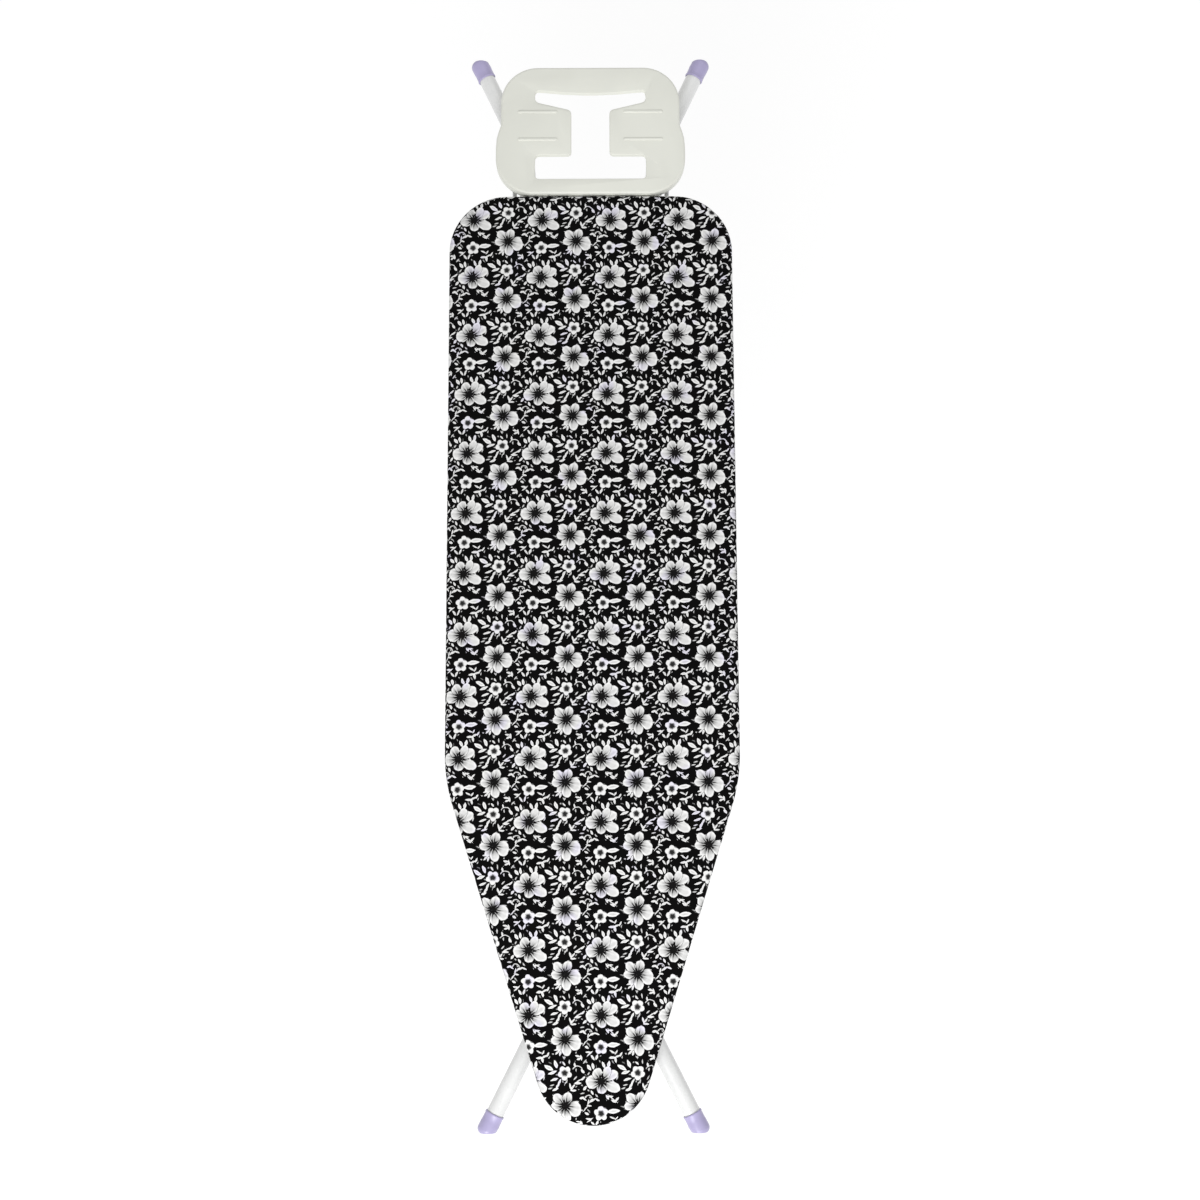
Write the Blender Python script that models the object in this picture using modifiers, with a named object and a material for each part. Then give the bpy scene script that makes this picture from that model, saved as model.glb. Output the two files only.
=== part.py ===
"""Folding ironing board, lying folded flat on its feet with the ironing surface up.

Frame: metres, +Z up, +Y from the nose towards the iron rest, +X to the right.
The origin is on the floor below the centre of the folded board.

The board is an isosceles scissor. The inner leg frame (legs A) hinges under the deck near the
rear and has its feet beside the nose. The outer leg frame (legs B) has its feet beyond the iron
rest and carries the slide bar that runs in two notched rails under the deck. Both frames cross
at the centre pivots, which lie half-way along both.
"""

import bmesh
import bpy
from math import acos, atan2, cos, hypot, pi, radians, sin, tan
from mathutils import Matrix, Vector

# ---- driving dimensions --------------------------------------------------------------------
GAP = 0.0003                    # clearance between touching pieces

BOARD_HALF_WIDTH = 0.190        # outside of the cover
REAR_EDGE_Y = 0.510
NOSE_TIP_Y = -0.7035
REAR_CORNER_RADIUS = 0.078
NOSE_RADIUS = 0.0735
TAPER_ANGLE = radians(17.6)
SHOULDER_RADIUS = 0.225         # where the straight side turns into the taper

LEG_RADIUS = 0.011
LEG_WALL = 0.0011
CAP_RADIUS = 0.0126
LEG_Z = CAP_RADIUS              # leg axes when folded, so that the caps touch the floor
PIVOT_RISE = 0.020              # from the leg axes up to the hinge rod and the slide bar
PIVOT_Z = LEG_Z + PIVOT_RISE
PIVOT_Y = 0.330                 # hinge rod at +PIVOT_Y, slide bar at -PIVOT_Y when folded
ROD_RADIUS = 0.004
SOLE_Y = 0.7165                 # the soles are flat at this distance from the centre

INNER_LEG_X = 0.055
OUTER_LEG_X = 0.0865
INNER_FLARE_Y = 0.556
OUTER_FLARE_Y = 0.5734
INNER_FLARE_ANGLE = radians(27.0)
OUTER_FLARE_ANGLE = radians(25.3)
FLARE_BEND_RADIUS = 0.110
LEG_BRACE_RADIUS = 0.007
LEG_TOP_Y = 0.318               # upper end of each leg tube, just short of its pivot

FOLD_MAX = radians(55.0)
WORKING_ANGLES = [radians(a) for a in (24.0, 31.0, 37.0, 43.0, 49.0, 55.0)]

RIM_RADIUS = 0.008
RIM_WALL = 0.0010
RIM_Z = 0.0361
COVER_THICKNESS = 0.0010
SHEET_THICKNESS = 0.0006
SHEET_Z = RIM_Z + RIM_RADIUS + GAP
PAD_THICKNESS = 0.0060
PAD_Z = SHEET_Z + SHEET_THICKNESS + GAP
COVER_TOP_Z = PAD_Z + PAD_THICKNESS + GAP + COVER_THICKNESS
COVER_BOTTOM_Z = RIM_Z - RIM_RADIUS - 0.0016
HEM_WIDTH = 0.022

BRACE_WIDTH = 0.024
BRACE_THICKNESS = 0.0015
BRACE_Y = {"nose": -0.520, "front": -0.375, "middle": 0.075, "hinge": PIVOT_Y, "rear": 0.450}
BRACE_TOP_Z = RIM_Z + RIM_RADIUS

RAIL_X = 0.1085
RAIL_THICKNESS = 0.0015
RAIL_BOTTOM_Z = 0.0225
RAIL_TOP_Z = 0.0436
BUSH_RADIUS = 0.0062

LEVER_X = 0.020
LEVER_Z = 0.0396
LEVER_RADIUS = 0.0025
LEVER_ARM_Y = -0.400
LEVER_DROP = radians(9.7)       # the arm hangs by this angle at rest
LEVER_ARM_LENGTH = 0.098

REST_FRONT_Y = 0.5107
REST_REAR_Y = 0.6906
REST_TOP_Z = 0.0550
REST_BOTTOM_Z = 0.0400
REST_WALL = 0.0025
REST_HALF_FRONT = 0.128
REST_HALF_REAR = 0.121
REST_CORNER = 0.050
REST_STEP_Y = 0.606
REST_ROD_X = 0.1035
REST_ROD_RADIUS = 0.003
REST_CLIP_Y = 0.6085
REST_SCREW_INSET = 0.0105       # from the rod inwards to the clip's screw
REST_BOSS_Z = 0.0462
RIB_X = 0.0715
RIB_Y = (0.5872, 0.6265)
RIB_LENGTH = 0.053
RIB_WIDTH = 0.0032
RIB_HEIGHT = 0.0012
SCREW_RADIUS = 0.0014

COLORS = {
    "white_enamel": ((0.86, 0.87, 0.87), 0.0, 0.35),
    "zinc_steel": ((0.55, 0.56, 0.57), 0.9, 0.35),
    "black_cotton": ((0.012, 0.012, 0.014), 0.0, 0.9),
    "foam": ((0.78, 0.76, 0.70), 0.0, 0.95),
    "elastic": ((0.75, 0.75, 0.74), 0.0, 0.9),
    "grey_plastic": ((0.70, 0.71, 0.66), 0.0, 0.45),
    "lavender_plastic": ((0.42, 0.38, 0.62), 0.0, 0.4),
    "nylon": ((0.80, 0.80, 0.78), 0.0, 0.5),
}

SIDES = (("left", -1), ("right", 1))


# ---- scene, materials and groups -----------------------------------------------------------
def clear_scene():
    for old in list(bpy.data.objects):
        bpy.data.objects.remove(old, do_unlink=True)


def make_collection(name):
    made = bpy.data.collections.new(name)
    bpy.context.scene.collection.children.link(made)
    return made


clear_scene()
PARTS = make_collection("ironing_board")
CUTTERS = make_collection("cutters")


def finish_of(node, kind):
    """A material of its own for each piece, from the finish that it shares with others."""
    color, metallic, roughness = COLORS[kind]
    made = bpy.data.materials.new(f"{node}_{kind}")
    made.use_nodes = True
    shader = made.node_tree.nodes["Principled BSDF"]
    shader.inputs["Base Color"].default_value = (*color, 1.0)
    shader.inputs["Metallic"].default_value = metallic
    shader.inputs["Roughness"].default_value = roughness
    made.diffuse_color = (*color, 1.0)
    return made


def place(obj, kind, axis=None):
    """Give a finished piece its material and hang it on its joint's axis."""
    obj.data.materials.clear()
    obj.data.materials.append(finish_of(obj.name, kind))
    if axis is not None:
        obj.parent = axis
        obj.matrix_parent_inverse = Matrix.Translation(-axis.location)
    return obj


def joint_axis(name, location):
    empty = bpy.data.objects.new(name, None)
    empty.location = location
    PARTS.objects.link(empty)
    return empty


def mark_cutter(obj):
    obj.hide_render = True
    obj.display_type = "WIRE"
    return obj


# ---- modelling helpers ---------------------------------------------------------------------
WELD_DISTANCE = 1e-6


def as_mesh(curve_object):
    """Replace a curve object by a mesh object of the same name and place, its caps welded on."""
    bpy.context.view_layer.update()
    graph = bpy.context.evaluated_depsgraph_get()
    mesh = bpy.data.meshes.new_from_object(curve_object.evaluated_get(graph))
    name = curve_object.name
    place_of = curve_object.matrix_world.copy()
    group = curve_object.users_collection[0]
    bpy.data.objects.remove(curve_object, do_unlink=True)
    weld_vertices(mesh, WELD_DISTANCE)
    made = bpy.data.objects.new(name, mesh)
    made.matrix_world = place_of
    group.objects.link(made)
    return made


def weld_vertices(mesh, distance):
    work = bmesh.new()
    work.from_mesh(mesh)
    bmesh.ops.remove_doubles(work, verts=work.verts, dist=distance)
    work.to_mesh(mesh)
    work.free()


def smooth(obj, angle=radians(40.0)):
    obj.data.shade_smooth()
    obj.data.set_sharp_from_angle(angle=angle)
    return obj


def wire(name, points, radius, cyclic=False, resolution=3, caps=True):
    """A round bar or tube skin along a line of points."""
    curve = bpy.data.curves.new(name, "CURVE")
    curve.dimensions = "3D"
    curve.resolution_u = 1
    curve.bevel_depth = radius
    curve.bevel_resolution = resolution
    curve.use_fill_caps = caps and not cyclic
    spline = curve.splines.new("POLY")
    spline.points.add(len(points) - 1)
    for slot, point in zip(spline.points, points):
        slot.co = (*point, 1.0)
    spline.use_cyclic_u = cyclic
    spline.use_smooth = True
    made = bpy.data.objects.new(name, curve)
    PARTS.objects.link(made)
    return made


def hollow_tube(name, points, radius, wall, resolution=4):
    """A tube open at both ends: the skin of a wire, thickened inwards."""
    skin = as_mesh(wire(name, points, radius, resolution=resolution, caps=False))
    thick = skin.modifiers.new("wall", "SOLIDIFY")
    thick.thickness = wall
    thick.offset = -1.0
    thick.use_even_offset = True
    return smooth(skin, radians(60.0))


def flat_plate(name, loops, thickness, group=None):
    """A plate cut to one outline, with any further loops as holes, centred on its own plane."""
    curve = bpy.data.curves.new(name, "CURVE")
    curve.dimensions = "2D"
    curve.fill_mode = "BOTH"
    curve.extrude = thickness / 2
    curve.resolution_u = 1
    for loop in loops:
        spline = curve.splines.new("POLY")
        spline.points.add(len(loop) - 1)
        for slot, (u, v) in zip(spline.points, loop):
            slot.co = (u, v, 0.0, 1.0)
        spline.use_cyclic_u = True
    made = bpy.data.objects.new(name, curve)
    (group or PARTS).objects.link(made)
    return made


def stand_up(obj, x):
    """Turn a flat plate so that its outline reads (Y, Z), at the given X."""
    obj.rotation_euler = (pi / 2, 0.0, pi / 2)
    obj.location = (x, 0.0, 0.0)
    return obj


def box(name, low, high, group=None):
    work = bmesh.new()
    bmesh.ops.create_cube(work, size=1.0)
    size = Vector(high) - Vector(low)
    middle = (Vector(high) + Vector(low)) / 2
    for vertex in work.verts:
        vertex.co = Vector(a * b for a, b in zip(vertex.co, size))
    mesh = bpy.data.meshes.new(name)
    work.to_mesh(mesh)
    work.free()
    made = bpy.data.objects.new(name, mesh)
    made.location = middle
    (group or PARTS).objects.link(made)
    return made


def turned(name, profile, location, direction, steps=20, group=None):
    """A turned piece: (radius, height) points, with local +Z laid along a direction."""
    mesh = bpy.data.meshes.new(name)
    points = [(radius, 0.0, height) for radius, height in profile]
    edges = [(i, i + 1) for i in range(len(points) - 1)]
    if profile[0][0] > 0.0:
        edges.append((len(points) - 1, 0))
    mesh.from_pydata(points, edges, [])
    made = bpy.data.objects.new(name, mesh)
    made.location = location
    made.rotation_euler = Vector(direction).to_track_quat("Z", "Y").to_euler()
    (group or PARTS).objects.link(made)
    screw = made.modifiers.new("turn", "SCREW")
    screw.steps = steps
    screw.render_steps = steps
    screw.use_merge_vertices = True
    screw.merge_threshold = 1e-5
    screw.use_smooth_shade = True
    return made


def solid_bar(name, radius, start, end, steps=12, group=None):
    """A round bar between two points, with flat ends."""
    start = Vector(start)
    along = Vector(end) - start
    profile = [(0.0, along.length), (radius, along.length), (radius, 0.0), (0.0, 0.0)]
    return turned(name, profile, start, along, steps, group)


def ring(name, inner, outer, x_low, x_high, y, z, steps=16):
    """A washer or sleeve around an axis along X."""
    length = x_high - x_low
    profile = [(inner, 0.0), (inner, length), (outer, length), (outer, 0.0)]
    return turned(name, profile, (x_low, y, z), (1, 0, 0), steps)


def boolean(obj, tool, operation):
    step = obj.modifiers.new(tool.name, "BOOLEAN")
    step.operation = operation
    step.solver = "EXACT"
    step.object = tool
    mark_cutter(tool)


# ---- outlines ------------------------------------------------------------------------------
def arc(center, radius, start, end, steps):
    """Points along an arc, from one angle to another, both ends included."""
    turns = [start + (end - start) * i / steps for i in range(steps + 1)]
    return [(center[0] + radius * cos(t), center[1] + radius * sin(t)) for t in turns]


def mirrored(half):
    """Close an outline of x >= 0 points that runs from rear to front with its left half."""
    left = [(-x, y) for x, y in reversed(half) if x > 1e-6]
    return half + left


def board_outline(inset=0.0):
    """The board's outline in plan: rear corner, shoulder and nose arcs on fixed centres."""
    corner = (BOARD_HALF_WIDTH - REAR_CORNER_RADIUS, REAR_EDGE_Y - REAR_CORNER_RADIUS)
    nose = (0.0, NOSE_TIP_Y + NOSE_RADIUS)
    tangent_x = nose[0] + NOSE_RADIUS * cos(TAPER_ANGLE)
    tangent_y = nose[1] - NOSE_RADIUS * sin(TAPER_ANGLE)
    shoulder_y = tangent_y + (BOARD_HALF_WIDTH - tangent_x) / tan(TAPER_ANGLE)
    shoulder_y += SHOULDER_RADIUS * tan(TAPER_ANGLE / 2)
    shoulder = (BOARD_HALF_WIDTH - SHOULDER_RADIUS, shoulder_y)
    half = arc(corner, REAR_CORNER_RADIUS - inset, pi / 2, 0.0, 8)
    half += arc(shoulder, SHOULDER_RADIUS - inset, 0.0, -TAPER_ANGLE, 3)
    half += arc(nose, NOSE_RADIUS - inset, -TAPER_ANGLE, -pi / 2, 8)
    return mirrored(half)


def link_outline(a, b, radius, steps=6):
    """A rounded plate around two centres."""
    heading = atan2(b[1] - a[1], b[0] - a[0])
    around_b = arc(b, radius, heading - pi / 2, heading + pi / 2, steps)
    around_a = arc(a, radius, heading + pi / 2, heading + 3 * pi / 2, steps)
    return around_b + around_a


def circle(center, radius, steps=12):
    return arc(center, radius, 0.0, 2 * pi, steps)[:-1]


BLUNT_CORNER = radians(160.0)    # a corner this open needs no rounding


def rounded_polygon(corners, radius, steps=3):
    """A polygon with each corner turned on the same radius, except for blunt ones."""
    points = []
    count = len(corners)
    for i, corner in enumerate(corners):
        here = Vector(corner)
        before = (Vector(corners[i - 1]) - here).normalized()
        after = (Vector(corners[(i + 1) % count]) - here).normalized()
        opening = acos(max(-1.0, min(1.0, before.dot(after))))
        if opening > BLUNT_CORNER:
            points.append(tuple(here))
            continue
        reach = radius / tan(opening / 2)
        start = here + before * reach
        end = here + after * reach
        center = here + (before + after).normalized() * (radius / sin(opening / 2))
        for k in range(steps + 1):
            spoke = (start - center).lerp(end - center, k / steps).normalized() * radius
            points.append(tuple(center + spoke))
    return points


def rest_outline(inset=0.0):
    """The iron rest in plan: its rear part is a little narrower than its front part."""
    radius = REST_CORNER - inset
    rear_x = REST_HALF_REAR - REST_CORNER
    front_x = REST_HALF_FRONT - REST_CORNER
    half = arc((rear_x, REST_REAR_Y - REST_CORNER), radius, pi / 2, 0.0, 7)
    half.append((REST_HALF_REAR - inset, REST_STEP_Y + 0.004))
    half.append((REST_HALF_FRONT - 0.002 - inset, REST_STEP_Y - 0.012))
    half.append((REST_HALF_FRONT - inset, REST_STEP_Y - 0.024))
    half += arc((front_x, REST_FRONT_Y + REST_CORNER), radius, 0.0, -pi / 2, 7)
    return mirrored(half)


def rest_cutout():
    """The I-shaped hole in the iron rest, whose rear edge bows towards the nose."""
    bar = 0.075
    stem = 0.0258
    front, front_top = 0.5317, 0.5651
    slope, rear_low, rear, bow = 0.6290, 0.6410, 0.6575, 0.0050
    right = [(bar / 2, rear - bow * 0.75), (bar, rear), (bar, rear_low), (stem, slope), (stem, front_top),
             (bar, front_top), (bar, front)]
    left = [(-x, y) for x, y in reversed(right)]
    return rounded_polygon([(0.0, rear - bow)] + right + left, 0.0045)


# ---- the scissor ---------------------------------------------------------------------------
HALF_SPAN = hypot(PIVOT_Y, PIVOT_RISE)      # from the centre pivot to the hinge rod or slide bar
REST_ANGLE = atan2(PIVOT_RISE, PIVOT_Y)


def slide_bar_y(fold):
    """Where the slide bar stands along the rails when the legs are unfolded by an angle."""
    return PIVOT_Y - 2 * HALF_SPAN * cos(REST_ANGLE + fold)


def leg_path(x, flare_y, flare_angle, toward, end_y):
    """A leg's axis from its upper end to its foot: straight, a bend, and the outward flare."""
    tangent = FLARE_BEND_RADIUS * tan(flare_angle / 2)
    start_y = flare_y - tangent
    side = 1 if x > 0 else -1
    points = [(x, -toward * LEG_TOP_Y, LEG_Z), (x, 0.0, LEG_Z), (x, toward * start_y, LEG_Z)]
    steps = 5
    for i in range(1, steps + 1):
        turn = flare_angle * i / steps
        out = FLARE_BEND_RADIUS * (1 - cos(turn))
        along = FLARE_BEND_RADIUS * sin(turn)
        points.append((x + side * out, toward * (start_y + along), LEG_Z))
    out = (end_y - flare_y) * tan(flare_angle)
    points.append((x + side * out, toward * end_y, LEG_Z))
    return points


CAP_LENGTH = 0.030
CAP_FLOOR = 0.012
CAP_OVERSHOOT = 0.003           # how far the uncut end of a cap lies past its flat sole
CAP_EDGE = 0.008                # radius of the rounded toe


def foot_cap(name, x, flare_y, flare_angle, toward, axis):
    """A cup pushed over the foot end, with its sole cut flat across the board's length."""
    side = 1 if x > 0 else -1
    end_y = SOLE_Y + CAP_OVERSHOOT
    end_x = x + side * (end_y - flare_y) * tan(flare_angle)
    outward = Vector((side * sin(flare_angle), toward * cos(flare_angle), 0.0))
    bore = LEG_RADIUS + GAP
    edge = [(CAP_RADIUS - CAP_EDGE + CAP_EDGE * cos(t), CAP_EDGE - CAP_EDGE * sin(t))
            for t in (radians(a) for a in (0, 22.5, 45, 67.5, 90))]
    profile = [(0.0, CAP_FLOOR), (bore, CAP_FLOOR), (bore, CAP_LENGTH), (CAP_RADIUS, CAP_LENGTH)]
    profile += edge
    profile.append((0.0, 0.0))
    cap = turned(name, profile, (end_x, toward * end_y, LEG_Z), -outward)
    reach = 0.03
    near, far = sorted((toward * SOLE_Y, toward * (SOLE_Y + reach)))
    low = (end_x - reach, near, LEG_Z - reach)
    high = (end_x + reach, far, LEG_Z + reach)
    boolean(cap, box(name + "_sole", low, high, CUTTERS), "DIFFERENCE")
    return place(cap, "lavender_plastic", axis)


def leg_end_y(flare_angle):
    """The end of the tube inside its cap."""
    return SOLE_Y + CAP_OVERSHOOT - (CAP_FLOOR + GAP) * cos(flare_angle)


CENTRE_BOLT_RADIUS = 0.003
EAR_RADIUS = 0.0085
EAR_THICKNESS = 0.0026


def leg_frame(letter, leg_x, flare_y, flare_angle, toward, axis, ear_side, brace_places):
    """One leg frame: two tubes, their ears, their cross braces and their caps."""
    pivot_y = -toward * PIVOT_Y
    for label, side in SIDES:
        x = side * leg_x
        path = leg_path(x, flare_y, flare_angle, toward, leg_end_y(flare_angle))
        tube = hollow_tube(f"leg_{letter}_tube_{label}", path, LEG_RADIUS, LEG_WALL)
        reach = LEG_RADIUS + 0.004
        hole = solid_bar(f"{tube.name}_hole", CENTRE_BOLT_RADIUS + GAP, (x - reach, 0.0, LEG_Z),
                         (x + reach, 0.0, LEG_Z), group=CUTTERS)
        boolean(tube, hole, "DIFFERENCE")
        place(tube, "white_enamel", axis)
        foot_cap(f"foot_cap_{letter}_{label}", x, flare_y, flare_angle, toward, axis)
        ear_x = x + ear_side * side * (LEG_RADIUS + GAP + EAR_THICKNESS / 2)
        root = (pivot_y + toward * 0.045, LEG_Z)
        outline = link_outline(root, (pivot_y, PIVOT_Z), EAR_RADIUS)
        ear = flat_plate(f"leg_{letter}_ear_{label}",
                         [outline, circle((pivot_y, PIVOT_Z), ROD_RADIUS + GAP)], EAR_THICKNESS)
        place(as_mesh(stand_up(ear, ear_x)), "white_enamel", axis)
    for place_name, y in brace_places:
        inner = leg_x - LEG_RADIUS - GAP
        bar = solid_bar(f"leg_{letter}_brace_{place_name}", LEG_BRACE_RADIUS, (-inner, y, LEG_Z),
                        (inner, y, LEG_Z), 16)
        place(bar, "white_enamel", axis)


def centre_pivots(axis):
    """The bolts on which the two leg frames cross."""
    inner_face = INNER_LEG_X - LEG_RADIUS
    outer_face = OUTER_LEG_X + LEG_RADIUS
    head_height, nut_height = 0.0035, 0.0050
    for label, side in SIDES:
        head = outer_face + GAP
        tip = inner_face - GAP - nut_height + 0.001
        shank = head - tip
        profile = [(0.0, shank + head_height), (0.0050, shank + head_height), (0.0065, shank + 0.0015),
                   (0.0065, shank), (CENTRE_BOLT_RADIUS, shank), (CENTRE_BOLT_RADIUS, 0.0), (0.0, 0.0)]
        bolt = turned(f"centre_bolt_{label}", profile, (side * tip, 0.0, LEG_Z), (side, 0, 0), 16)
        place(bolt, "zinc_steel", axis)
        low, high = sorted((side * (inner_face - GAP - nut_height), side * (inner_face - GAP)))
        nut_bore = CENTRE_BOLT_RADIUS / cos(pi / 6) + GAP
        nut = ring(f"centre_nut_{label}", nut_bore, 0.0058, low, high, 0.0, LEG_Z, 6)
        place(nut, "zinc_steel", axis)
        gap_low = INNER_LEG_X + LEG_RADIUS + GAP
        gap_high = OUTER_LEG_X - LEG_RADIUS - GAP
        low, high = sorted((side * gap_low, side * gap_high))
        spacer = ring(f"centre_spacer_{label}", CENTRE_BOLT_RADIUS + GAP, 0.0090, low, high, 0.0, LEG_Z)
        place(spacer, "nylon", axis)


def slide_bar(axis):
    """The bar across the upper ends of legs B, with its bushes and push-on caps."""
    y = -PIVOT_Y
    inner = OUTER_LEG_X + LEG_RADIUS + 2 * GAP + EAR_THICKNESS
    web = RAIL_X + RAIL_THICKNESS / 2 + GAP
    outer = web + 0.0030
    cap_width = 0.0020
    half = outer + GAP + cap_width + 0.0025
    bar = solid_bar("slide_bar", ROD_RADIUS, (-half, y, PIVOT_Z), (half, y, PIVOT_Z), 16)
    place(bar, "zinc_steel", axis)
    bore = ROD_RADIUS + GAP
    flange = 0.0088
    for label, side in SIDES:
        profile = [(bore, 0.0), (bore, outer - inner), (flange, outer - inner), (flange, web - inner),
                   (BUSH_RADIUS, web - inner), (BUSH_RADIUS, 0.0)]
        bush = turned(f"slide_bush_{label}", profile, (side * inner, y, PIVOT_Z), (side, 0, 0), 16)
        place(bush, "nylon", axis)
        low, high = sorted((side * (outer + GAP), side * (outer + GAP + cap_width)))
        place(ring(f"slide_cap_{label}", bore, 0.0066, low, high, y, PIVOT_Z, 12), "zinc_steel", axis)


# ---- deck ----------------------------------------------------------------------------------
def deck():
    """The pressed frame under the pad: rim, sheet and cross braces."""
    rim_inset = COVER_THICKNESS + GAP + RIM_RADIUS
    loop = [(x, y, RIM_Z) for x, y in board_outline(rim_inset)]
    seam = 0.0004                # butt joint of the rim tube, at the middle of the rear edge
    rear_y = REAR_EDGE_Y - rim_inset
    path = [(seam, rear_y, RIM_Z)] + loop + [(-seam, rear_y, RIM_Z)]
    rim = hollow_tube("rim_tube", path, RIM_RADIUS, RIM_WALL, 3)
    place(rim, "white_enamel")

    inner = COVER_THICKNESS + 2 * GAP
    sheet = flat_plate("deck_sheet", [board_outline(inner + 0.0010)], SHEET_THICKNESS)
    sheet.location.z = SHEET_Z + SHEET_THICKNESS / 2
    place(as_mesh(sheet), "white_enamel")

    for label, y in BRACE_Y.items():
        half = min(x for x, near in side_points() if abs(near - y) < BRACE_WIDTH) - GAP
        low = (-half, y - BRACE_WIDTH / 2, BRACE_TOP_Z - BRACE_THICKNESS)
        high = (half, y + BRACE_WIDTH / 2, BRACE_TOP_Z)
        place(box(f"brace_{label}", low, high), "white_enamel")


def side_points():
    """Half-widths between the rim's two sides, every few millimetres along the board."""
    inset = COVER_THICKNESS + GAP + 2 * RIM_RADIUS
    outline = [p for p in board_outline(inset) if p[0] >= 0.0]
    points = []
    for (x0, y0), (x1, y1) in zip(outline, outline[1:]):
        steps = max(1, int(hypot(x1 - x0, y1 - y0) / 0.004))
        points += [(x0 + (x1 - x0) * i / steps, y0 + (y1 - y0) * i / steps) for i in range(steps)]
    return points


def soft_goods():
    """The foam pad, the cover drawn over the rim, and the elastic in its hem."""
    inner = COVER_THICKNESS + 2 * GAP
    pad = flat_plate("foam_pad", [board_outline(inner + 0.0022)], PAD_THICKNESS)
    pad.location.z = PAD_Z + PAD_THICKNESS / 2
    place(as_mesh(pad), "foam")

    rows = [(HEM_WIDTH, COVER_BOTTOM_Z), (0.0025, COVER_BOTTOM_Z), (0.0, COVER_BOTTOM_Z + 0.0025),
            (0.0, COVER_TOP_Z - 0.0025), (0.0025, COVER_TOP_Z)]
    rings = [[(x, y, z) for x, y in board_outline(inset)] for inset, z in rows]
    count = len(rings[0])
    points = [p for row in rings for p in row]
    faces = []
    for r in range(len(rings) - 1):
        for i in range(count):
            j = (i + 1) % count
            faces.append((r * count + j, r * count + i, (r + 1) * count + i, (r + 1) * count + j))
    top = (len(rings) - 1) * count
    faces.append([top + i for i in reversed(range(count))])
    mesh = bpy.data.meshes.new("cover")
    mesh.from_pydata(points, [], faces)
    cover = bpy.data.objects.new("cover", mesh)
    PARTS.objects.link(cover)
    thick = cover.modifiers.new("cloth", "SOLIDIFY")
    thick.thickness = COVER_THICKNESS
    thick.offset = -1.0
    thick.use_even_offset = True
    place(cover, "black_cotton")

    radius = 0.0012
    line = board_outline(HEM_WIDTH + GAP + radius)
    elastic = wire("hem_elastic", [(x, y, COVER_BOTTOM_Z + radius) for x, y in line], radius, True, 1)
    place(as_mesh(elastic), "elastic")


def hinge():
    """The fixed hinge rod of legs A and the two brackets that hold it under the deck."""
    reach = 0.0745
    rod = solid_bar("hinge_rod", ROD_RADIUS, (-reach, PIVOT_Y, PIVOT_Z), (reach, PIVOT_Y, PIVOT_Z), 16)
    place(rod, "zinc_steel")
    plate = 0.0015
    x = INNER_LEG_X + LEG_RADIUS + 2 * GAP + plate / 2
    top = BRACE_TOP_Z - BRACE_THICKNESS - GAP
    foot = 0.010
    for label, side in SIDES:
        low = arc((PIVOT_Y, PIVOT_Z), EAR_RADIUS, pi, 2 * pi, 8)
        outline = low + [(PIVOT_Y + foot, top), (PIVOT_Y - foot, top)]
        hole = circle((PIVOT_Y, PIVOT_Z), ROD_RADIUS + GAP)
        bracket = flat_plate(f"hinge_bracket_{label}", [outline, hole], plate)
        place(as_mesh(stand_up(bracket, side * x)), "white_enamel")
        start = x + plate / 2 + GAP
        low, high = sorted((side * start, side * (start + 0.0020)))
        cap = ring(f"hinge_cap_{label}", ROD_RADIUS + GAP, 0.0066, low, high, PIVOT_Y, PIVOT_Z, 12)
        place(cap, "zinc_steel")


def rails():
    """Two slotted plates under the deck, whose upper slot edge has a notch for each height."""
    half_slot = BUSH_RADIUS + 0.0004
    notch_half, notch_depth, notch_slope = 0.0058, 0.0022, 0.0012
    start = slide_bar_y(0.0)
    end = slide_bar_y(FOLD_MAX)
    top = PIVOT_Z + half_slot
    ends = BRACE_WIDTH / 2 + GAP
    rear, front = BRACE_Y["middle"] - ends, BRACE_Y["front"] + ends
    chamfer = 0.006
    outline = [(front, RAIL_BOTTOM_Z + chamfer), (front + chamfer, RAIL_BOTTOM_Z),
               (rear - chamfer, RAIL_BOTTOM_Z), (rear, RAIL_BOTTOM_Z + chamfer),
               (rear, RAIL_TOP_Z), (front, RAIL_TOP_Z)]
    slot = arc((start, PIVOT_Z), half_slot, pi / 2, 3 * pi / 2, 6)
    slot += arc((end, PIVOT_Z), half_slot, -pi / 2, pi / 2, 6)
    for fold in reversed(WORKING_ANGLES[:-1]):
        y = slide_bar_y(fold)
        slot += [(y + notch_half, top), (y + notch_half - notch_slope, top + notch_depth),
                 (y - notch_half + notch_slope, top + notch_depth), (y - notch_half, top)]
    for label, side in SIDES:
        rail = flat_plate(f"rail_{label}", [outline, slot], RAIL_THICKNESS)
        place(as_mesh(stand_up(rail, side * RAIL_X)), "zinc_steel")


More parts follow.
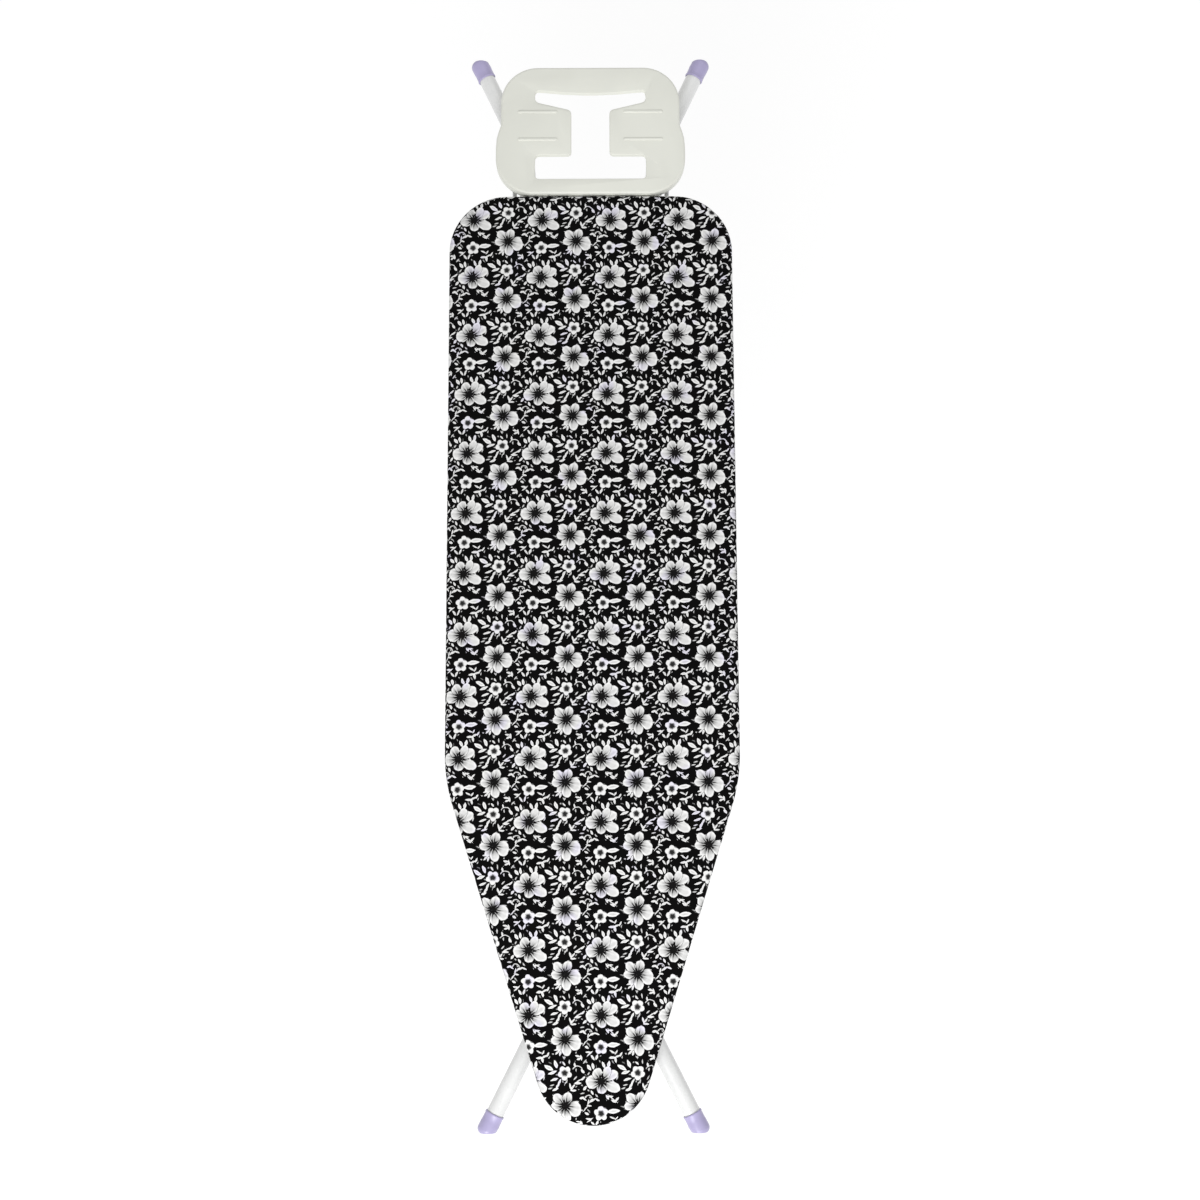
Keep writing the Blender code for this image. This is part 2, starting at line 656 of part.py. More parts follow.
def release_lever(axis):
    """The cranked release rod, the strip that presses on the slide bar, and the grip."""
    end_y = BRACE_Y["middle"] + 0.010
    arm = Vector((cos(LEVER_DROP), 0.0, -sin(LEVER_DROP)))
    pivot = Vector((LEVER_X, LEVER_ARM_Y, LEVER_Z))
    bend = 0.008
    tip = pivot + arm * LEVER_ARM_LENGTH
    path = [(LEVER_X, end_y, LEVER_Z), (LEVER_X, LEVER_ARM_Y + bend, LEVER_Z)]
    back = Vector((0, bend, 0))
    for turn in (radians(22.5), radians(45), radians(67.5)):
        path.append(pivot + back * (1 - sin(turn)) + arm * bend * (1 - cos(turn)))
    path += [pivot + arm * bend, tip - arm * 0.012]
    rod = as_mesh(wire("lever_rod", path, LEVER_RADIUS, resolution=3))
    place(smooth(rod), "zinc_steel", axis)

    strip_edge = 0.0120
    low = (LEVER_X - strip_edge, -0.345, LEVER_Z - 0.0006)
    high = (LEVER_X - LEVER_RADIUS - GAP, -0.004, LEVER_Z + 0.0006)
    place(box("ejector_strip", low, high), "zinc_steel", axis)

    grip_start, grip_half_width, grip_half_height = 0.060, 0.011, 0.0046
    centre_at = (grip_start + LEVER_ARM_LENGTH) / 2
    grip = box("lever_grip", (-(LEVER_ARM_LENGTH - grip_start) / 2, -grip_half_width, -grip_half_height),
               ((LEVER_ARM_LENGTH - grip_start) / 2, grip_half_width, grip_half_height))
    grip.location = pivot + arm * centre_at
    grip.rotation_euler = (0.0, LEVER_DROP, 0.0)
    edge = grip.modifiers.new("edge", "BEVEL")
    edge.width = 0.003
    edge.segments = 2
    socket = solid_bar("lever_grip_socket", LEVER_RADIUS + GAP, pivot + arm * (grip_start - 0.01),
                       tip - arm * (0.012 - GAP), 12, CUTTERS)
    boolean(grip, socket, "DIFFERENCE")
    place(grip, "lavender_plastic", axis)


def lever_mounts():
    """Two hangers for the release rod and its torsion spring."""
    half, bottom = 0.0060, 0.0356
    top = BRACE_TOP_Z - BRACE_THICKNESS - GAP
    thickness = 0.0020
    for label, y in (("front", BRACE_Y["front"]), ("rear", BRACE_Y["middle"])):
        outline = rounded_polygon([(-half, bottom), (half, bottom), (half, top), (-half, top)], 0.0015)
        bore = circle((0.0, LEVER_Z), LEVER_RADIUS + 0.0002)
        hanger = flat_plate(f"lever_hanger_{label}", [outline, bore], thickness)
        hanger.rotation_euler = (pi / 2, 0.0, 0.0)
        hanger.location = (LEVER_X, y, 0.0)
        place(as_mesh(hanger), "nylon")
    turns, per_turn, pitch, wire_radius = 5, 10, 0.0016, 0.0004
    radius = LEVER_RADIUS + GAP + wire_radius
    start_y = BRACE_Y["middle"] - BRACE_WIDTH / 2 - GAP - wire_radius
    helix = []
    for i in range(turns * per_turn + 1):
        turn = 2 * pi * i / per_turn
        y = start_y - pitch * i / per_turn
        helix.append((LEVER_X + radius * cos(turn), y, LEVER_Z + radius * sin(turn)))
    place(as_mesh(wire("lever_spring", helix, wire_radius, resolution=1)), "zinc_steel")


# ---- iron rest -----------------------------------------------------------------------------
def iron_rest():
    """The moulded rest: a plate with a skirt, an I-shaped hole and four raised ribs."""
    rest = flat_plate("iron_rest", [rest_outline()], REST_TOP_Z - REST_BOTTOM_Z)
    rest.location.z = (REST_TOP_Z + REST_BOTTOM_Z) / 2
    rest = as_mesh(rest)
    below = 0.01
    hollow = flat_plate("iron_rest_hollow", [rest_outline(REST_WALL)],
                        REST_TOP_Z - REST_WALL - REST_BOTTOM_Z + below, CUTTERS)
    hollow.location.z = (REST_TOP_Z - REST_WALL + REST_BOTTOM_Z - below) / 2
    boolean(rest, as_mesh(hollow), "DIFFERENCE")
    for label, side in SIDES:
        boss_x = side * (REST_ROD_X - REST_SCREW_INSET)
        boss = solid_bar(f"iron_rest_boss_{label}", 0.0040, (boss_x, REST_CLIP_Y, REST_BOSS_Z),
                         (boss_x, REST_CLIP_Y, REST_TOP_Z - 0.001), 12, CUTTERS)
        boolean(rest, boss, "UNION")
        pilot = solid_bar(f"iron_rest_pilot_{label}", SCREW_RADIUS + GAP,
                          (boss_x, REST_CLIP_Y, REST_BOSS_Z - 0.002),
                          (boss_x, REST_CLIP_Y, REST_TOP_Z - 0.003), 10, CUTTERS)
        boolean(rest, pilot, "DIFFERENCE")
        for number, rib_y in enumerate(RIB_Y):
            half = Vector((RIB_LENGTH / 2, RIB_WIDTH / 2, 0.0))
            low = Vector((side * RIB_X, rib_y, REST_TOP_Z - 0.001)) - half
            high = Vector((side * RIB_X, rib_y, REST_TOP_Z + RIB_HEIGHT)) + half
            boolean(rest, box(f"iron_rest_rib_{label}_{number}", low, high, CUTTERS), "UNION")
    hole = flat_plate("iron_rest_cutout", [rest_cutout()], 0.04, CUTTERS)
    hole.location.z = REST_TOP_Z
    boolean(rest, as_mesh(hole), "DIFFERENCE")
    place(rest, "grey_plastic")


def rest_supports():
    """The two bent rods that carry the iron rest, their clips and screws."""
    under_hem = COVER_BOTTOM_Z - COVER_THICKNESS / 2 - 2 * GAP - REST_ROD_RADIUS
    under_brace = BRACE_TOP_Z - BRACE_THICKNESS - GAP - REST_ROD_RADIUS
    under_plate = REST_TOP_Z - REST_WALL - GAP - REST_ROD_RADIUS
    for label, side in SIDES:
        x = side * REST_ROD_X
        route = [(0.441, under_brace), (0.458, under_brace), (0.463, under_brace - 0.0012),
                 (0.476, under_hem + 0.0012), (0.481, under_hem), (0.514, under_hem),
                 (0.520, under_hem + 0.0020), (0.542, under_plate - 0.0022), (0.548, under_plate),
                 (0.668, under_plate)]
        path = [(x, y, z) for y, z in route]
        rod = as_mesh(wire(f"rest_rod_{label}", path, REST_ROD_RADIUS, resolution=3))
        place(smooth(rod), "white_enamel")
        clip_top = under_plate - REST_ROD_RADIUS - GAP
        clip_thickness = 0.0012
        low = (REST_ROD_X - 0.0160, REST_CLIP_Y - 0.005, clip_top - clip_thickness)
        high = (REST_ROD_X + 0.0060, REST_CLIP_Y + 0.005, clip_top)
        near, far = sorted((side * low[0], side * high[0]))
        clip = box(f"rest_clip_{label}", (near, *low[1:]), (far, *high[1:]))
        screw_x = side * (REST_ROD_X - REST_SCREW_INSET)
        hole = solid_bar(f"rest_clip_hole_{label}", SCREW_RADIUS + GAP,
                         (screw_x, REST_CLIP_Y, clip_top - 0.004),
                         (screw_x, REST_CLIP_Y, clip_top + 0.004), 10, CUTTERS)
        boolean(clip, hole, "DIFFERENCE")
        place(clip, "zinc_steel")
        head, shank = 0.0016, 0.0060
        profile = [(0.0, head + shank), (SCREW_RADIUS, head + shank), (SCREW_RADIUS, head), (0.0030, head),
                   (0.0022, 0.0), (0.0, 0.0)]
        head_z = clip_top - clip_thickness - GAP - head
        screw_at = (screw_x, REST_CLIP_Y, head_z)
        place(turned(f"rest_screw_{label}", profile, screw_at, (0, 0, 1), 10), "zinc_steel")


# ---- assembly ------------------------------------------------------------------------------
fold_axis = joint_axis("fold_axis", (0.0, PIVOT_Y, PIVOT_Z))
centre_axis = joint_axis("centre_axis", (0.0, 0.0, LEG_Z))
lever_axis = joint_axis("lever_axis", (LEVER_X, 0.0, LEVER_Z))

deck()
soft_goods()
hinge()
rails()
lever_mounts()
iron_rest()
rest_supports()
leg_frame("a", INNER_LEG_X, INNER_FLARE_Y, INNER_FLARE_ANGLE, -1, fold_axis, -1,
          (("upper", 0.140), ("lower", -0.500)))
leg_frame("b", OUTER_LEG_X, OUTER_FLARE_Y, OUTER_FLARE_ANGLE, 1, centre_axis, 1,
          (("upper", 0.385), ("lower", 0.490)))
centre_pivots(centre_axis)
slide_bar(centre_axis)
release_lever(lever_axis)
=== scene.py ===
"""Folding ironing board, lying folded flat: the detailed visual model on its CAD frame.

Frame: metres, +Z up, +Y from the nose towards the iron rest, +X to the right. The folded board
stands at Z = 0.
"""

from math import cos, exp, hypot, pi, radians, sin, tan

import bmesh
import bpy
from mathutils import Matrix, Vector, noise


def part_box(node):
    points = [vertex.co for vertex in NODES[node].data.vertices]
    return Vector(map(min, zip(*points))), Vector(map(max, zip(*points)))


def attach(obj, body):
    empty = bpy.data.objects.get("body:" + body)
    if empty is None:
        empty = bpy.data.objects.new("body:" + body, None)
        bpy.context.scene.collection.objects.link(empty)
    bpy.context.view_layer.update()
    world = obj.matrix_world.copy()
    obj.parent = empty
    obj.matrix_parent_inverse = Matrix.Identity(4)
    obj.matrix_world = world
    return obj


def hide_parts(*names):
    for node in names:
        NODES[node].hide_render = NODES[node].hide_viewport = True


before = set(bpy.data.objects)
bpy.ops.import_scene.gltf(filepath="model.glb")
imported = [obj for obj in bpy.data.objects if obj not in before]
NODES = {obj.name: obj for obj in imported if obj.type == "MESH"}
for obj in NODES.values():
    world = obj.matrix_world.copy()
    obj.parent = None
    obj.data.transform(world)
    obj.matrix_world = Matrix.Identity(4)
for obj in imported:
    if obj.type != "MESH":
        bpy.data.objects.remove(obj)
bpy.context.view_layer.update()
SIDES = (("left", -1), ("right", 1))
SHARP_EDGE = radians(38.0)

# ---- dimensions shared with the CAD model ----------------------------------------------------
BOARD_HALF_WIDTH = 0.190
REAR_EDGE_Y = 0.510
NOSE_TIP_Y = -0.7035
REAR_CORNER_RADIUS = 0.078
NOSE_RADIUS = 0.0735
TAPER_ANGLE = radians(17.6)
SHOULDER_RADIUS = 0.225

RIM_RADIUS = 0.008
RIM_Z = 0.0361
RIM_INSET = 0.0093
COVER_TOP_Z = 0.0526
PAD_LOW_Z, PAD_HIGH_Z = 0.0453, 0.0513
SHEET_LOW_Z, SHEET_HIGH_Z = 0.0444, 0.0450

LEG_RADIUS, LEG_WALL, LEG_Z = 0.011, 0.0011, 0.0126
CAP_RADIUS, CAP_LENGTH, CAP_FLOOR, CAP_OVERSHOOT = 0.0126, 0.030, 0.012, 0.003
CAP_EDGE = 0.008
SOLE_Y = 0.7165
LEG_TOP_Y = 0.318
PIVOT_Y, PIVOT_Z = 0.330, 0.0326
FLARE_BEND_RADIUS = 0.110
BRACE_RADIUS = 0.007
LEG_FRAMES = {
    "a": dict(x=0.055, flare_y=0.556, flare=radians(27.0), toward=-1, body="inner_legs"),
    "b": dict(x=0.0865, flare_y=0.5734, flare=radians(25.3), toward=1, body="outer_legs"),
}

REST_FRONT_Y, REST_REAR_Y, REST_STEP_Y = 0.5107, 0.6906, 0.606
REST_TOP_Z, REST_BOTTOM_Z, REST_WALL = 0.0550, 0.0400, 0.0025
RIB_X, RIB_Y = 0.0715, (0.5872, 0.6265)
REST_HALF_FRONT, REST_HALF_REAR, REST_CORNER = 0.128, 0.121, 0.050


# ---- geometry helpers ------------------------------------------------------------------------
def link(name, mesh):
    made = bpy.data.objects.new(name, mesh)
    bpy.context.scene.collection.objects.link(made)
    return made


def mesh_object(name, vertices, faces, weld=None, sharp=SHARP_EDGE):
    mesh = bpy.data.meshes.new(name)
    mesh.from_pydata([tuple(v) for v in vertices], [], faces)
    work = bmesh.new()
    work.from_mesh(mesh)
    if weld:
        bmesh.ops.remove_doubles(work, verts=work.verts, dist=weld)
    bmesh.ops.recalc_face_normals(work, faces=work.faces)
    work.to_mesh(mesh)
    work.free()
    mesh.shade_smooth()
    if sharp:
        mesh.set_sharp_from_angle(angle=sharp)
    return link(name, mesh)


def loft_faces(ring_count, size, loop=False):
    """Quads between rings of equal size; with loop the last ring joins the first."""
    faces = []
    for r in range(ring_count if loop else ring_count - 1):
        s = (r + 1) % ring_count
        for i in range(size):
            j = (i + 1) % size
            faces.append((r * size + i, r * size + j, s * size + j, s * size + i))
    return faces


def loft(name, rings, loop=False, caps=False, weld=None, sharp=SHARP_EDGE):
    size = len(rings[0])
    faces = loft_faces(len(rings), size, loop)
    if caps:
        faces.append(list(range(size)))
        last = (len(rings) - 1) * size
        faces.append([last + i for i in range(size)])
    return mesh_object(name, [p for ring in rings for p in ring], faces, weld, sharp)


def section_rings(path, radii, segments, closed=False):
    """Round sections along a path, carried without twist."""
    points = [Vector(p) for p in path]
    count = len(points)
    tangents = []
    for i in range(count):
        if closed:
            step = points[(i + 1) % count] - points[i - 1]
        else:
            step = points[min(i + 1, count - 1)] - points[max(i - 1, 0)]
        tangents.append(step.normalized())
    seed = Vector((0, 0, 1)) if abs(tangents[0].z) < 0.9 else Vector((1, 0, 0))
    across = tangents[0].cross(seed).normalized()
    rings = []
    for i in range(count):
        across = (across - tangents[i] * across.dot(tangents[i])).normalized()
        up = tangents[i].cross(across)
        radius = radii[i] if hasattr(radii, "__len__") else radii
        rings.append([points[i] + (across * cos(t) + up * sin(t)) * radius
                      for t in (2 * pi * k / segments for k in range(segments))])
    return rings


def with_edges(path, edge):
    """A path with one more point near each end, where the end's edge is broken."""
    points = [Vector(p) for p in path]
    head = (points[1] - points[0]).normalized() * edge
    tail = (points[-2] - points[-1]).normalized() * edge
    return [points[0], points[0] + head] + points[1:-1] + [points[-1] + tail, points[-1]]


def rod(name, path, radius, segments=24, closed=False, chamfer=0.0005):
    """A solid bar along a path, with slightly broken edges at its ends."""
    if closed:
        return loft(name, section_rings(path, radius, segments, True), loop=True)
    points = with_edges(path, chamfer)
    radii = [radius - chamfer] + [radius] * (len(points) - 2) + [radius - chamfer]
    return loft(name, section_rings(points, radii, segments), caps=True)


def pipe(name, path, radius, wall, segments=32):
    """A tube with open, rounded ends."""
    edge = wall * 0.4
    points = with_edges(path, edge)
    inner_radius = radius - wall
    last = len(points) - 1
    outer = [radius - edge if i in (0, last) else radius for i in range(last + 1)]
    inner = [inner_radius + edge if i in (0, last) else inner_radius for i in range(last + 1)]
    rings = section_rings(points, outer, segments)
    rings += list(reversed(section_rings(points, inner, segments)))
    return loft(name, rings, loop=True)


def fillet(points, radius, steps=5, closed=False):
    """A polyline or polygon with its corners rounded. Works on 2-D and 3-D points."""
    points = [Vector(p) for p in points]
    count = len(points)
    made = []
    for i, here in enumerate(points):
        if not closed and i in (0, count - 1):
            made.append(here)
            continue
        before = points[i - 1] - here
        after = points[(i + 1) % count] - here
        reach = min(radius * 1.2, before.length * 0.49, after.length * 0.49)
        start = here + before.normalized() * reach
        end = here + after.normalized() * reach
        for k in range(steps + 1):
            t = k / steps
            made.append(start.lerp(here, t).lerp(here.lerp(end, t), t))
    return made


def lathe(name, profile, origin, direction, segments=40, loop=False, sharp=SHARP_EDGE):
    """A turned piece from (radius, height) points; with loop the profile is a closed one."""
    turn = Vector(direction).to_track_quat("Z", "Y").to_matrix()
    origin = Vector(origin)
    rings = []
    for radius, height in profile:
        rings.append([origin + turn @ Vector((radius * cos(t), radius * sin(t), height))
                      for t in (2 * pi * k / segments for k in range(segments))])
    return loft(name, rings, loop=loop, weld=1e-7, sharp=sharp)


def washer(name, inner, outer, x_low, x_high, y, z, rounding=0.0004, segments=40):
    """A turned ring about an axis along X."""
    length = x_high - x_low
    corners = [(inner, 0.0), (inner, length), (outer, length), (outer, 0.0)]
    profile = [tuple(p) for p in fillet(corners, rounding, 3, closed=True)]
    return lathe(name, profile, (x_low, y, z), (1, 0, 0), segments, loop=True)


def prism(name, outline, low, high):
    """A straight-walled solid above an outline in plan."""
    rings = [[(x, y, low) for x, y in outline], [(x, y, high) for x, y in outline]]
    return loft(name, rings, caps=True)


def evaluated(obj):
    """Apply an object's modifiers and leave it without any."""
    bpy.context.view_layer.update()
    graph = bpy.context.evaluated_depsgraph_get()
    mesh = bpy.data.meshes.new_from_object(obj.evaluated_get(graph))
    obj.modifiers.clear()
    obj.data = mesh
    return obj


def cut(obj, tool, operation="DIFFERENCE"):
    """Take a tool away from a piece, or join it on, and delete the tool."""
    step = obj.modifiers.new("cut", "BOOLEAN")
    step.operation = operation
    step.solver = "EXACT"
    step.object = tool
    evaluated(obj)
    bpy.data.objects.remove(tool, do_unlink=True)
    return obj


def bevelled(obj, width, segments):
    """Break the sharp edges of a piece."""
    step = obj.modifiers.new("edge", "BEVEL")
    step.width = width
    step.segments = segments
    step.limit_method = "ANGLE"
    step.angle_limit = radians(32.0)
    evaluated(obj)
    obj.data.shade_smooth()
    obj.data.set_sharp_from_angle(angle=radians(42.0))
    return obj


def box(node):
    """A CAD node's low corner, high corner and middle."""
    low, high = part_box(node)
    return low, high, (low + high) / 2


def refined(node, width=0.0003, segments=2):
    """A pressed or cut piece of the CAD model, rebuilt with its edges broken."""
    mesh = NODES[node].data.copy()
    work = bmesh.new()
    work.from_mesh(mesh)
    bmesh.ops.remove_doubles(work, verts=work.verts, dist=2e-6)
    bmesh.ops.dissolve_limit(work, angle_limit=radians(0.8), verts=work.verts, edges=work.edges)
    work.to_mesh(mesh)
    work.free()
    made = link(f"{node}_piece", mesh)
    made.data.materials.clear()
    return bevelled(made, width, segments)


def finish(piece, body, material, slot, *nodes):
    """Give a piece its material and its body, and hide the CAD nodes that it stands for."""
    piece.data.materials.clear()
    piece.data.materials.append(material)
    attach(piece, body)
    if nodes:
        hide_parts(*nodes)
    return piece


def pin(name, node, body, steel):
    """A plain round bar along X in the place of a CAD one."""
    low, high, middle = box(node)
    ends = ((low[0], middle[1], middle[2]), (high[0], middle[1], middle[2]))
    return finish(rod(name, ends, (high[2] - low[2]) / 2, 32), body, steel, "zinc_steel", node)


# ---- outlines --------------------------------------------------------------------------------
def arc(center, radius, start, end, steps):
    turns = [start + (end - start) * i / steps for i in range(steps + 1)]
    return [(center[0] + radius * cos(t), center[1] + radius * sin(t)) for t in turns]


def edge_frame(spacing):
    """Points along the board's edge with their outward normals and the distance run so far."""
    corner = (BOARD_HALF_WIDTH - REAR_CORNER_RADIUS, REAR_EDGE_Y - REAR_CORNER_RADIUS)
    nose = (0.0, NOSE_TIP_Y + NOSE_RADIUS)
    tangent = (nose[0] + NOSE_RADIUS * cos(TAPER_ANGLE), nose[1] - NOSE_RADIUS * sin(TAPER_ANGLE))
    shoulder_y = tangent[1] + (BOARD_HALF_WIDTH - tangent[0]) / tan(TAPER_ANGLE)
    shoulder_y += SHOULDER_RADIUS * tan(TAPER_ANGLE / 2)
    shoulder = (BOARD_HALF_WIDTH - SHOULDER_RADIUS, shoulder_y)
    half = []

    def straight(start, end, normal_angle):
        steps = max(1, round(hypot(end[0] - start[0], end[1] - start[1]) / spacing))
        for i in range(steps):
            t = i / steps
            x = start[0] + (end[0] - start[0]) * t
            y = start[1] + (end[1] - start[1]) * t
            half.append((x, y, normal_angle))

    def bend(center, radius, start, end):
        steps = max(2, round(abs(end - start) * radius / spacing))
        for i in range(steps):
            angle = start + (end - start) * i / steps
            half.append((center[0] + radius * cos(angle), center[1] + radius * sin(angle), angle))

    straight((0.0, REAR_EDGE_Y), (corner[0], REAR_EDGE_Y), pi / 2)
    bend(corner, REAR_CORNER_RADIUS, pi / 2, 0.0)
    straight((BOARD_HALF_WIDTH, corner[1]), (BOARD_HALF_WIDTH, shoulder_y), 0.0)
    bend(shoulder, SHOULDER_RADIUS, 0.0, -TAPER_ANGLE)
    taper_start = (shoulder[0] + SHOULDER_RADIUS * cos(TAPER_ANGLE),
                   shoulder_y - SHOULDER_RADIUS * sin(TAPER_ANGLE))
    straight(taper_start, tangent, -TAPER_ANGLE)
    bend(nose, NOSE_RADIUS, -TAPER_ANGLE, -pi / 2)
    half.append((0.0, NOSE_TIP_Y, -pi / 2))
    left = [(-x, y, pi - angle) for x, y, angle in reversed(half[1:-1])]
    loop, run = [], 0.0
    previous = None
    for x, y, angle in half + left:
        if previous:
            run += hypot(x - previous[0], y - previous[1])
        previous = (x, y)
        loop.append((Vector((x, y)), Vector((cos(angle), sin(angle))), run))
    return loop


def spine_point(point):
    """The nearest point on the board's middle line, which the cover's rings close on."""
    low = NOSE_TIP_Y + NOSE_RADIUS
    high = REAR_EDGE_Y - REAR_CORNER_RADIUS
    return Vector((0.0, max(low, min(high, point.y))))


def offset_loop(loop, distance):
    """Move each point of a loop along its own normal, to the right of the way the loop runs."""
    count = len(loop)
    moved = []
    for i in range(count):
        ahead = Vector(loop[(i + 1) % count]) - Vector(loop[i - 1])
        normal = Vector((ahead.y, -ahead.x)).normalized()
        amount = distance(normal, Vector(loop[i])) if callable(distance) else distance
        moved.append(tuple(Vector(loop[i]) + normal * amount))
    return moved


# ---- material nodes --------------------------------------------------------------------------
class Paint:
    """One material's nodes. Each method adds a node and returns its output."""

    def __init__(self, name):
        self.material = bpy.data.materials.new(name)
        self.material.use_nodes = True
        self.tree = self.material.node_tree
        self.shader = self.tree.nodes["Principled BSDF"]

    def feed(self, socket, value):
        if isinstance(value, bpy.types.NodeSocket):
            self.tree.links.new(value, socket)
        elif hasattr(socket.default_value, "__len__") and hasattr(value, "__len__"):
            size = len(socket.default_value)
            socket.default_value = (tuple(value) + (1.0,) * size)[:size]
        else:
            socket.default_value = value

    def node(self, kind, *values, **settings):
        made = self.tree.nodes.new(kind)
        for key, value in settings.items():
            setattr(made, key, value)
        for socket, value in zip(made.inputs, values):
            if value is not None:
                self.feed(socket, value)
        return made

    def math(self, operation, *values, clamp=False):
        return self.node("ShaderNodeMath", *values, operation=operation, use_clamp=clamp).outputs[0]

    def vector(self, operation, *values):
        made = self.node("ShaderNodeVectorMath", *values, operation=operation)
        return made.outputs[1 if operation in ("LENGTH", "DOT_PRODUCT", "DISTANCE") else 0]

    def scaled(self, vector, factor):
        made = self.node("ShaderNodeVectorMath", vector, operation="SCALE")
        made.inputs["Scale"].default_value = factor
        return made.outputs[0]

    def ramp(self, value, low, high, to_low=0.0, to_high=1.0, kind="SMOOTHSTEP"):
        made = self.node("ShaderNodeMapRange", value, low, high, to_low, to_high, interpolation_type=kind)
        return made.outputs[0]

    def mix(self, factor, a, b):
        made = self.node("ShaderNodeMix", data_type="RGBA")
        self.feed(made.inputs["Factor"], factor)
        self.feed(made.inputs["A"], a)
        self.feed(made.inputs["B"], b)
        return made.outputs["Result"]

    def place(self, vector, location, angle, scale):
        """The coordinates seen from a place of their own, turned and scaled."""
        made = self.node("ShaderNodeMapping", vector, vector_type="TEXTURE")
        made.inputs["Location"].default_value = (*location, 0.0)
        made.inputs["Rotation"].default_value = (0.0, 0.0, angle)
        made.inputs["Scale"].default_value = (*scale, 1.0)
        return made.outputs[0]

    def object_space(self):
        return self.node("ShaderNodeTexCoord").outputs["Object"]

    def noise(self, vector, scale, detail=3.0, roughness=0.55, distortion=0.0):
        made = self.node("ShaderNodeTexNoise", vector)
        made.inputs["Scale"].default_value = scale
        made.inputs["Detail"].default_value = detail
        made.inputs["Roughness"].default_value = roughness
        made.inputs["Distortion"].default_value = distortion
        return made.outputs["Fac"]

    def bump(self, height, strength, distance, before=None):
        made = self.node("ShaderNodeBump")
        made.inputs["Strength"].default_value = strength
        made.inputs["Distance"].default_value = distance
        self.feed(made.inputs["Height"], height)
        if before is not None:
            self.feed(made.inputs["Normal"], before)
        return made.outputs["Normal"]

    def surface(self, **values):
        for key, value in values.items():
            self.feed(self.shader.inputs[key.replace("_", " ")], value)
        return self.material


def srgb(red, green, blue):
    """A colour read as 8-bit display values, as the linear values that a shader takes."""
    made = []
    for value in (red, green, blue):
        share = value / 255
        made.append(share / 12.92 if share <= 0.04045 else ((share + 0.055) / 1.055) ** 2.4)
    return tuple(made)


def tinted(color, factor):
    return tuple(min(1.0, c * factor) for c in color)


def powder_coat(name, color):
    """Baked enamel on steel: an uneven tone, a soft gloss and a faint orange peel."""
    paint = Paint(name)
    place = paint.object_space()
    tone = paint.ramp(paint.noise(place, 18.0, 4.0), 0.35, 0.70)
    shade = paint.mix(tone, tinted(color, 0.955), color)
    rub = paint.ramp(paint.noise(place, 60.0, 5.0, 0.6), 0.35, 0.75, 0.24, 0.38)
    peel = paint.noise(place, 650.0, 2.0)
    dust = paint.noise(place, 2600.0, 1.0)
    normal = paint.bump(peel, 0.22, 0.00012)
    normal = paint.bump(dust, 0.10, 0.00004, normal)
    return paint.surface(Base_Color=shade, Roughness=rub, Normal=normal, Coat_Weight=0.25,
                         Coat_Roughness=0.18)


def moulded_plastic(name, color, grain=1100.0, roughness=(0.38, 0.52), relief=0.25):
    """Injection-moulded plastic: a fine spark-eroded grain, flow marks and scuffs."""
    paint = Paint(name)
    place = paint.object_space()
    flow = paint.noise(place, 9.0, 3.0, 0.5, 0.6)
    shade = paint.mix(paint.ramp(flow, 0.3, 0.7), tinted(color, 0.955), tinted(color, 1.02))
    scuff = paint.ramp(paint.noise(place, 85.0, 6.0, 0.65), 0.35, 0.75, roughness[0], roughness[1])
    normal = paint.bump(paint.noise(place, grain, 2.0), relief, 0.00008)
    normal = paint.bump(paint.noise(place, 40.0, 2.0), 0.10, 0.0006, normal)
    return paint.surface(Base_Color=shade, Roughness=scuff, Normal=normal, IOR=1.49)


def plated_steel(name, color):
    """Bright zinc plating: a cloudy passivation and fine drawing lines."""
    paint = Paint(name)
    place = paint.object_space()
    cloud = paint.ramp(paint.noise(place, 70.0, 5.0, 0.6, 0.4), 0.3, 0.72)
    shade = paint.mix(cloud, tinted(color, 0.80), tinted(color, 1.08))
    lines = paint.noise(paint.vector("MULTIPLY", place, (40.0, 1800.0, 1800.0)), 1.0, 2.0)
    rough = paint.ramp(paint.noise(place, 240.0, 4.0), 0.3, 0.75, 0.24, 0.42)
    normal = paint.bump(lines, 0.12, 0.00006)
    return paint.surface(Base_Color=shade, Roughness=rough, Metallic=1.0, Normal=normal)


def plain_foam(name):
    """Open-celled polyether foam."""
    paint = Paint(name)
    place = paint.object_space()
    cells = paint.node("ShaderNodeTexVoronoi", place, feature="DISTANCE_TO_EDGE")
    cells.inputs["Scale"].default_value = 900.0
    pore_depth_and_shade = paint.ramp(cells.outputs["Distance"], 0.0, 0.35)
    # The middles of the cells are painted darker than their walls: painted shade inside the pores. The
    # same mask also drives the bump.
    shade = paint.mix(pore_depth_and_shade, (0.62, 0.60, 0.53), (0.42, 0.40, 0.35))
    normal = paint.bump(pore_depth_and_shade, 0.6, 0.0004)
    return paint.surface(Base_Color=shade, Roughness=0.95, Normal=normal)


def braided_elastic(name):
    paint = Paint(name)
    place = paint.object_space()
    braid = paint.node("ShaderNodeTexWave", place, wave_type="BANDS", bands_direction="DIAGONAL")
    braid.inputs["Scale"].default_value = 900.0
    braid.inputs["Distortion"].default_value = 1.5
    shade = paint.mix(braid.outputs["Fac"], (0.50, 0.50, 0.49), (0.74, 0.74, 0.72))
    normal = paint.bump(braid.outputs["Fac"], 0.5, 0.0002)
    return paint.surface(Base_Color=shade, Roughness=0.85, Normal=normal)


